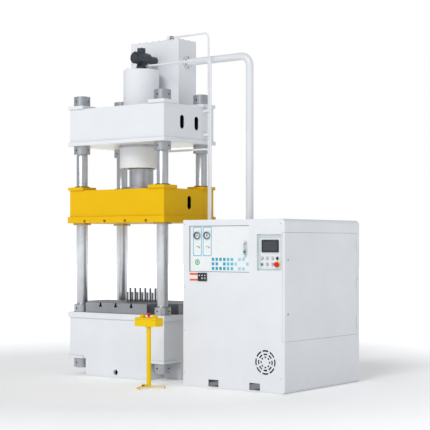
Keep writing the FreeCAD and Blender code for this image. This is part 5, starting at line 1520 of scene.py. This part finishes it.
@dataclass
class OperatorPanel(Assembly):
    """Recessed tray with screen, buttons, selector and stop button."""

    sheet: float = 0.004
    line: float = 0.005
    bezel: float = 0.028
    ring_rise: float = 0.006
    legend_rise: float = 0.0255
    tray_screw: Span = (0.0035, 0.0015)
    ring: tuple = ((0.0178, -0.006), (0.0178, 0.0), (0.0168, 0.0016), (0.0142, 0.0016),
                   (0.0133, 0.0))
    stop_ring: tuple = ((0.0302, -0.006), (0.0302, 0.0012), (0.0295, 0.0016),
                        (0.0133, 0.0016))
    cap: tuple = ((0.0118, 0.0), (0.0112, 0.0006), (0.009, 0.0003), (0.0, -0.0002))
    stop_head: tuple = ((0.0262, -0.014), (0.0266, -0.009), (0.0262, -0.004),
                        (0.0235, -0.0005), (0.0, 0.0006))
    body: str = "press_frame"
    caps: dict = field(default_factory=lambda: {
        "button_start": SILVER_CAP, "button_hold": SILVER_CAP, "button_reset": PALE_CAP,
        "button_up": GREEN_CAP, "button_down": SILVER_CAP, "button_eject": PALE_CAP,
        "mode_selector": BLACK_PLASTIC, "panel_stop": RED_CAP})

    def build(self) -> None:
        """Dress the tray and its controls and add outlines, rings and marks."""
        dress(TRAY_GREY, "operator_tray")
        dress(BLACK_PLASTIC, "operator_screen")
        for name, finish in self.caps.items():
            dress(finish, name)
        low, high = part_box("operator_tray")
        self.floor = high.y - self.sheet
        centre = middle("operator_tray")
        self.place = Facing.FRONT.at(centre.x, self.floor, centre.z)
        self.size = (high.x - low.x - 2 * self.sheet, high.z - low.z - 2 * self.sheet)
        self.outline()
        self.display()
        self.button_parts()
        self.cap_details()

    def outline(self) -> None:
        """Print the tray's coloured outline and set its corner screws."""
        maker = Maker("tray_outline", PALE_CYAN, ZINC, BLACK_OXIDE)
        width, height = self.size
        long, tall = width - 0.045, height - 0.042
        maker.frame(rounded(long, tall, 0.018),
                    rounded(long - 2 * self.line, tall - 2 * self.line, 0.014), 0.0004,
                    moved(self.place, -0.012, -0.009))
        for side, end in CORNERS:
            maker.socket_screw(moved(self.place, side * (width / 2 - 0.006),
                                     end * (height / 2 - 0.006)), *self.tray_screw, 1, 2)
        maker.finish(self.body, "grey_paint")

    def display(self) -> None:
        """Add the screen's raised bezel and its lit display."""
        low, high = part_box("operator_screen")
        x, _, z = middle("operator_screen")
        width, height = high.x - low.x, high.z - low.z
        long, tall = width - self.bezel, height - self.bezel
        maker = Maker("screen_face", BLACK_PLASTIC, SCREEN_GLASS, GREEN_CAP)
        front = Facing.FRONT.at(x, low.y, z)
        maker.frame(rounded(width - 0.001, height - 0.001, 0.008),
                    rounded(long, tall, 0.003), 0.0015, front, 0)
        maker.slab(rounded(long - 0.0005, tall - 0.0005, 0.003), 0.001,
                   moved(front, z=-0.0019), 1)
        maker.turn([(0.0015, 0.0015), (0.0012, 0.0022), (0.0, 0.0022)],
                   moved(front, width / 2 - 0.010, -height / 2 + 0.007), 2, 16)
        maker.finish(self.body, "black_case")

    def button_parts(self) -> None:
        """Add each control's chromed bezel, blank legend plate and the stop's yellow ring."""
        maker = Maker("button_rings", ZINC, LABEL_WHITE, YELLOW_CAP)
        for name in self.caps:
            x, _, z = middle(name)
            ring = Facing.FRONT.at(x, self.floor - self.ring_rise, z)
            if name == "panel_stop":
                maker.turn(self.stop_ring, ring, 2, 48)
                continue
            maker.turn(self.ring, ring, 0, 48)
            legend = Facing.FRONT.at(x, self.floor, z + self.legend_rise)
            maker.slab(rounded(0.026, 0.008, 0.001, 2), 0.0006, legend, 1)
        maker.finish(self.body, "silver_button")

    def cap_details(self) -> None:
        """Crown the caps, mark the selector and round the stop's head."""
        for name, finish in self.caps.items():
            x, _, z = middle(name)
            head = Facing.FRONT.at(x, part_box(name)[0].y, z)
            maker = Maker(name + "_crown", finish, LABEL_WHITE)
            if name == "mode_selector":
                maker.slab(rounded(0.0018, 0.011, 0.0006, 1), INK, moved(head, 0.0, 0.007), 1)
            elif name == "panel_stop":
                maker.turn(self.stop_head, head, 0, 48)
            else:
                maker.turn(self.cap, head)
            maker.finish(name)


@dataclass
class PumpSet(Assembly):
    """Motor, coupling, pump, valve block and tubes inside the cabinet."""

    tube: float = 0.011
    tube_drop: float = 0.06
    motor_y: float = 0.64
    fins: int = 30
    fin_circle: float = 0.152
    fin_inset: float = 0.03
    shield: float = 0.018
    shield_bolt: float = 0.011
    box_screw: Span = (0.0045, 0.004)
    cover: float = 0.014
    cover_screw: Span = (0.009, 0.009)
    flange_bolt: float = 0.010
    coil_nut: float = 0.020
    breather_screw: Span = (0.004, 0.003)
    lid_screws: tuple = tuple(product((0.095, 0.225), (0.05, -0.05)))
    coupling_x: float = 1.705
    coupling: float = 0.022
    coil_start: float = 0.060
    coil_pitch: float = 0.090
    coils_fitted: int = 4
    pump_port: tuple[float, float, float] = (1.84, 0.42, 0.78)
    roof_sheet: float = 0.004
    breather: tuple = ((0.066, 0.0), (0.066, 0.006), (0.054, 0.008), (0.054, 0.05),
                       (0.058, 0.055), (0.058, 0.085), (0.05, 0.095), (0.0, 0.097))

    def build(self) -> None:
        """Dress the pump set and add fins, covers, coils and inner tubes."""
        dress(MOTOR_BLUE, "pump_motor")
        dress(SHAFT_STEEL, "motor_shaft")
        dress(PUMP_IRON, "gear_pump")
        dress(PLATE_STEEL, "valve_manifold")
        self.motor_fins()
        self.pump_screws()
        self.coils()
        self.tubes()
        self.tank_fittings()

    def motor_fins(self) -> None:
        """Add the motor's cooling fins, end shield and fan cowl rings."""
        low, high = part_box("pump_motor")
        y, z = self.motor_y, PUMP_AXIS_Z
        maker = Maker("motor_fins", MOTOR_BLUE, BLACK_OXIDE, ZINC)
        fin = rounded(0.018, 0.004, 0.001, 2)
        for step in range(self.fins):
            angle = -38.0 + 256.0 * step / (self.fins - 1)
            if abs(angle - 90.0) < 26.0:
                continue
            turned = Matrix.Rotation(math.radians(angle), 4, "Z")
            place = moved(Facing.RIGHT.at(low.x + self.fin_inset, y, z) @ turned,
                          self.fin_circle)
            maker.slab(fin, high.x - low.x - 0.07, place)
        for x in (low.x, high.x - self.shield):
            maker.turn([(0.146, 0.0), (0.150, 0.002), (0.150, self.shield - 0.002),
                        (0.146, self.shield)], Facing.RIGHT.at(x, y, z), 0, 64)
        for dx, dy in ring_places(6, 0.128, 30.0):
            maker.hex_bolt(Facing.RIGHT.at(high.x, y + dx, z + dy), self.shield_bolt, 2)
        for dx, dy in self.lid_screws:
            maker.socket_screw(Facing.UP.at(low.x + dx, y + dy, high.z), *self.box_screw, 2, 1)
        maker.finish(self.body, "motor_paint")

    def pump_screws(self) -> None:
        """Add the pump's cover plate and screws, and the coupling's spider and screws."""
        low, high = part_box("gear_pump")
        y, z = (low.y + high.y) / 2, PUMP_AXIS_Z
        maker = Maker("pump_cover", PUMP_IRON, ZINC, BLACK_OXIDE)
        face = Facing.RIGHT.at(high.x, y, z)
        maker.slab(rounded(0.130, 0.130, 0.03), self.cover, face, 0, 0.002)
        for dx, dy in ring_places(4, 0.072, 45.0):
            maker.socket_screw(moved(face, dx, dy, self.cover), *self.cover_screw, 1, 2)
        for dx, dy in ring_places(4, 0.086, 45.0):
            maker.hex_bolt(Facing.LEFT.at(low.x, y + dx, z + dy), self.flange_bolt, 1)
        maker.finish(self.body, "valve_iron")
        rings = Maker("coupling_spider", RUBBER, BLACK_OXIDE)
        rings.turn([(0.0452, -0.007), (0.0465, -0.005), (0.0465, 0.005), (0.0452, 0.007)],
                   Facing.RIGHT.at(self.coupling_x, y, z), 0, 48)
        for dx, dy in ring_places(3, 0.0450, 90.0):
            outward = Vector((0, dx, dy)).to_track_quat("Z", "Y").to_matrix().to_4x4()
            place = Matrix.Translation((self.coupling_x + self.coupling, y + dx, z + dy))
            rings.turn([(0.005, -0.002), (0.005, 0.001), (0.0, 0.001)], place @ outward, 1, 12)
        rings.finish("motor_shaft")

    def coils(self) -> None:
        """Add the solenoid coils' plugs and nuts on the valve block."""
        low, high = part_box("valve_manifold")
        y = (low.y + high.y) / 2
        maker = Maker("solenoid_plugs", BLACK_PLASTIC, ZINC, NEEDLE_RED)
        for step in range(self.coils_fitted):
            x = low.x + self.coil_start + self.coil_pitch * step
            maker.turn([(0.0285, -0.075), (0.0305, -0.072), (0.0305, -0.012),
                        (0.0285, -0.009)], Facing.UP.at(x, y, high.z), 0, 40)
            maker.hex_bolt(Facing.UP.at(x, y, high.z), self.coil_nut, 1)
            maker.slab(rounded(0.030, 0.030, 0.004), 0.028, Facing.FRONT.at(
                x, y - 0.027, high.z - 0.042), 0, 0.003)
            maker.turn([(0.003, 0.0), (0.003, 0.002), (0.0, 0.0026)], Facing.FRONT.at(
                x, y - 0.055, high.z - 0.034), 2, 16)
        maker.finish(self.body, "black_case")

    def tubes(self) -> None:
        """Run the inner tubes from pump to valve block and from block to the wall."""
        maker = Maker("inner_tubes", ZINC)
        low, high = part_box("valve_manifold")
        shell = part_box("cabinet_shell")
        wall, roof = shell[0].x + self.roof_sheet, shell[1].z - self.roof_sheet
        port = low.z + 0.12
        x, y, z = self.pump_port
        mid = middle("valve_manifold").y
        maker.sweep(bent_path([Vector(point) for point in (
            (x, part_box("gear_pump")[0].y, PUMP_AXIS_Z), (x, y, PUMP_AXIS_Z), (x, y, z),
            (x, mid, z), (high.x, mid, z))], 0.036), self.tube)
        for index, name in enumerate(("pressure_pipe", "return_pipe", "pilot_pipe")):
            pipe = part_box(name)
            y = (pipe[0].y + pipe[1].y) / 2
            z = pipe[0].z + (pipe[1].y - pipe[0].y) / 2
            x = low.x + 0.05 + 0.11 * index
            turn = low.y - self.tube_drop
            run = [(wall, y, z), (x, y, z), (x, y, port), (x, low.y, port)]
            if abs(y - turn) >= 0.13:
                run[2:2] = [(x, turn, z)]
                run[3] = (x, turn, port)
            maker.sweep(bent_path([Vector(point) for point in run], 0.034), self.tube)
        maker.sweep([Vector((*SUCTION_PLACE, z)) for z in (roof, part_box("oil_tank")[1].z)],
                    0.0445, sides=40)
        maker.finish(self.body, "bright_steel", 50.0)

    def tank_fittings(self) -> None:
        """Add the oil tank's filler breather, lid screws and weld beads."""
        low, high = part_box("oil_tank")
        maker = Maker("oil_tank_fittings", ZINC, BLACK_PLASTIC, FRAME_GREY, BLACK_OXIDE)
        place = Facing.UP.at(high.x - 0.12, low.y + 0.12, high.z)
        maker.turn(self.breather, place, 1, 40)
        for dx, dy in ring_places(6, 0.060):
            maker.socket_screw(moved(place, dx, dy, 0.006), *self.breather_screw, 0, 3)
        x, y, z = walls("oil_tank", 0.0)
        maker.weld(rectangle(x, y, z[0] + 0.003), 0.004, finish=2)
        maker.weld(rectangle(x, y, z[1] - 0.003), 0.003, finish=2)
        maker.finish(self.body, "grey_paint", 60.0)


@dataclass
class ControlStand(Assembly):
    """Two-hand control stand: post, box, palm buttons and stop."""

    lid_rim: float = 0.032
    seam_drop: float = 0.018
    screw_place: tuple[float, float] = (0.134, 0.055)
    lid_screw: Span = (0.0042, 0.003)
    post_bolts: float = 0.038
    post_bolt: float = 0.008
    collar_offset: float = 0.088
    collar: tuple = ((0.0302, -0.004), (0.0306, -0.001), (0.029, 0.0008), (0.0256, 0.0008),
                     (0.0244, -0.002))
    post_collar: tuple = ((0.045, 0.0), (0.045, 0.005), (0.032, 0.007), (0.0265, 0.014))
    stop_ring: tuple = ((0.0303, -0.006), (0.0303, 0.0002), (0.029, 0.0008),
                        (0.0135, 0.0008))
    palm_top: tuple = ((0.0238, 0.0), (0.0225, 0.0018), (0.016, 0.0038), (0.0, 0.005))
    stop_top: tuple = ((0.0232, -0.018), (0.0236, -0.012), (0.0232, -0.006),
                       (0.020, -0.001), (0.012, 0.0008), (0.0, 0.0012))
    post_weld: tuple[float, float] = (0.0252, 0.0245)
    toe_reach: float = 0.1762

    def build(self) -> None:
        """Dress the stand and add its lid seam, screws, crowns and foot pads."""
        dress(STAND_YELLOW, "stand_frame", "stand_box")
        dress(GREEN_CAP, "palm_button_left", "palm_button_right")
        dress(RED_CAP, "stand_stop")
        self.x, self.y, _ = middle("stand_box")
        self.lid()
        self.crown("palm_button_left", self.palm_top, GREEN_CAP, "green_button")
        self.crown("palm_button_right", self.palm_top, GREEN_CAP, "green_button")
        self.crown("stand_stop", self.stop_top, RED_CAP, "red_button")
        self.feet()

    def lid(self) -> None:
        """Add the box's lid seam, corner screws, collar rims and post collar."""
        low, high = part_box("stand_box")
        width, depth, top = high.x - low.x, high.y - low.y, high.z - self.lid_rim
        maker = Maker("stand_lid", STAND_YELLOW, ZINC, BLACK_OXIDE, RUBBER, YELLOW_CAP)
        inner = rounded(width - 0.002, depth - 0.002, 0.003)
        seam = Facing.UP.at(self.x, self.y, top - self.seam_drop)
        maker.frame(rounded(width + 0.0006, depth + 0.0006, 0.004), inner, 0.0015,
                    moved(seam, z=-0.0015), 3)
        maker.frame(rounded(width + 0.002, depth + 0.002, 0.004), inner, 0.016, seam, 0)
        lid = Facing.UP.at(self.x, self.y, top)
        for side, end in CORNERS:
            maker.socket_screw(moved(lid, side * self.screw_place[0],
                                     end * self.screw_place[1]), *self.lid_screw, 1, 2)
        for side in (-1, 1):
            maker.turn(self.collar, moved(lid, side * self.collar_offset, 0.0, self.lid_rim),
                       0, 48)
        post = Facing.DOWN.at(self.x, self.y, low.z)
        maker.turn(self.post_collar, post, 0, 48)
        for dx, dy in ring_places(4, self.post_bolts, 45.0):
            maker.hex_bolt(moved(post, dx, dy, 0.005), self.post_bolt, 1)
        maker.turn(self.stop_ring, moved(lid, z=0.006), 4, 48)
        maker.finish(self.body, "yellow_paint")

    def crown(self, name: str, profile: Outline, finish: Finish, slot: str) -> None:
        """Round the top of a button.

        Args:
            name: The button's node and body.
            profile: The crown's (radius, height) points.
            finish: The button's finish.
            slot: The button's material slot.
        """
        maker = Maker(name + "_crown", finish)
        maker.turn(profile, Facing.UP.at(middle(name).x, self.y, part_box(name)[1].z), 0, 48)
        maker.finish(name, slot)

    def feet(self) -> None:
        """Weld the post to the arms and clip a rubber pad over each toe."""
        maker = Maker("stand_feet", STAND_YELLOW, RUBBER)
        radius, height = self.post_weld
        maker.weld(circle(self.x, self.y, height, radius, 24), 0.003)
        centre = Matrix.Translation((self.x, self.y, 0.0))
        for angle in (-90.0, 30.0, 150.0):
            place = moved(centre @ Matrix.Rotation(math.radians(angle), 4, "Z"),
                          self.toe_reach)
            maker.slab(rounded(0.0074, 0.042, 0.002, 3), 0.010, place, 1, 0.001)
        maker.finish(self.body, "yellow_paint", 60.0)


# ------------------------------------------------------------------ studio

@dataclass
class Studio:
    """Pale floor, soft light and the camera."""

    camera_place: tuple[float, float, float] = (9.6975, -11.3655, 1.575)
    camera_turn: float = 37.07
    lens: float = 103.65
    shift: float = 0.0674
    floor_size: float = 120.0
    sky: float = 0.44
    key: float = 1.30
    fill: float = 0.12
    key_turn: tuple[float, float, float] = (58.0, 0.0, 8.0)
    key_spread: float = 25.0
    fill_turn: tuple[float, float, float] = (50.0, 0.0, 100.0)
    fill_spread: float = 60.0
    floor_tones: tuple[Colour, Colour] = ((0.93, 0.935, 0.94), (0.90, 0.905, 0.91))
    floor_glow: tuple[Colour, Colour] = ((0.22, 0.22, 0.22), (1.0, 1.0, 1.0))
    glow_reach: Span = (3.0, 9.0)

    def build(self) -> None:
        """Set the floor, the world, the lights and the camera."""
        self.floor()
        self.world()
        self.sun("key_light", self.key_turn, self.key, self.key_spread)
        self.sun("fill_light", self.fill_turn, self.fill, self.fill_spread)
        self.camera()
        bpy.context.scene.view_settings.view_transform = "Standard"

    def floor(self) -> None:
        """Lay a pale matt floor that brightens into the sky far from the machine."""
        data = bpy.data.meshes.new("studio_floor")
        half = self.floor_size / 2
        data.from_pydata(rectangle((-half, half), (-half, half), 0.0), [], [(0, 1, 2, 3)])
        piece = put("studio_floor", data)
        material, graph, shader = new_material("pale_studio_floor")
        place = graph.add("ShaderNodeTexCoord").outputs["Object"]
        reach = graph.add("ShaderNodeVectorMath", {0: place}, operation="LENGTH")
        bright = graph.span(reach.outputs["Value"], *self.glow_reach)
        speckle = graph.effect(Effect.GRAIN, fine=140.0, broad=1.5).outputs
        feed(graph, shader, Base_Color=graph.mix(speckle["Tone"], *self.floor_tones),
             Roughness=0.85, Specular_IOR_Level=0.1, Emission_Strength=0.75,
             Emission_Color=graph.mix(bright, *self.floor_glow))
        data.materials.append(material)

    def world(self) -> None:
        """Light the scene softly from a white sky that also fills the background."""
        world = bpy.data.worlds.new("studio_sky")
        bpy.context.scene.world = world
        world.use_nodes = True
        graph = Graph(world.node_tree)
        world.node_tree.nodes.clear()
        seen = graph.add("ShaderNodeLightPath").outputs["Is Camera Ray"]
        soft, white = (
            graph.add("ShaderNodeBackground", {"Color": colour, "Strength": strength})
            for colour, strength in (((0.95, 0.97, 1.0, 1.0), self.sky), ((1.0,) * 4, 1.0)))
        both = graph.add("ShaderNodeMixShader", {0: seen, 1: soft.outputs[0],
                                                 2: white.outputs[0]})
        graph.add("ShaderNodeOutputWorld", {"Surface": both.outputs[0]})

    def sun(self, name: str, turn: tuple[float, float, float], strength: float,
            spread: float) -> None:
        """Hang a broad, distant light.

        Args:
            name: The light's name.
            turn: Its rotation about X, Y and Z in degrees.
            strength: Its strength.
            spread: Its angular size in degrees, which softens its shadows.
        """
        data = bpy.data.lights.new(name, "SUN")
        data.energy = strength
        data.angle = math.radians(spread)
        put(name, data).rotation_euler = [math.radians(angle) for angle in turn]

    def camera(self) -> None:
        """Set the level camera off the machine's right front corner."""
        data = bpy.data.cameras.new("camera")
        data.lens = self.lens
        data.sensor_width = 36.0
        data.shift_y = self.shift
        data.clip_end = 200.0
        camera = put("camera", data)
        camera.location = self.camera_place
        camera.rotation_euler = (math.radians(90.0), 0.0, math.radians(self.camera_turn))
        bpy.context.scene.camera = camera


def main() -> None:
    """Build every sub-assembly in order."""
    logging.basicConfig(level=logging.INFO, format="%(message)s")
    Studio().build()
    for part in (PressFrame(), MovingSlide(), Cushion(), MainCylinder(), Pipework(),
                 Cabinet(), MimicBoard(), OperatorPanel(), PumpSet(), ControlStand()):
        LOG.info("building %s", type(part).__name__)
        part.build()


if __name__ == "__main__":
    main()
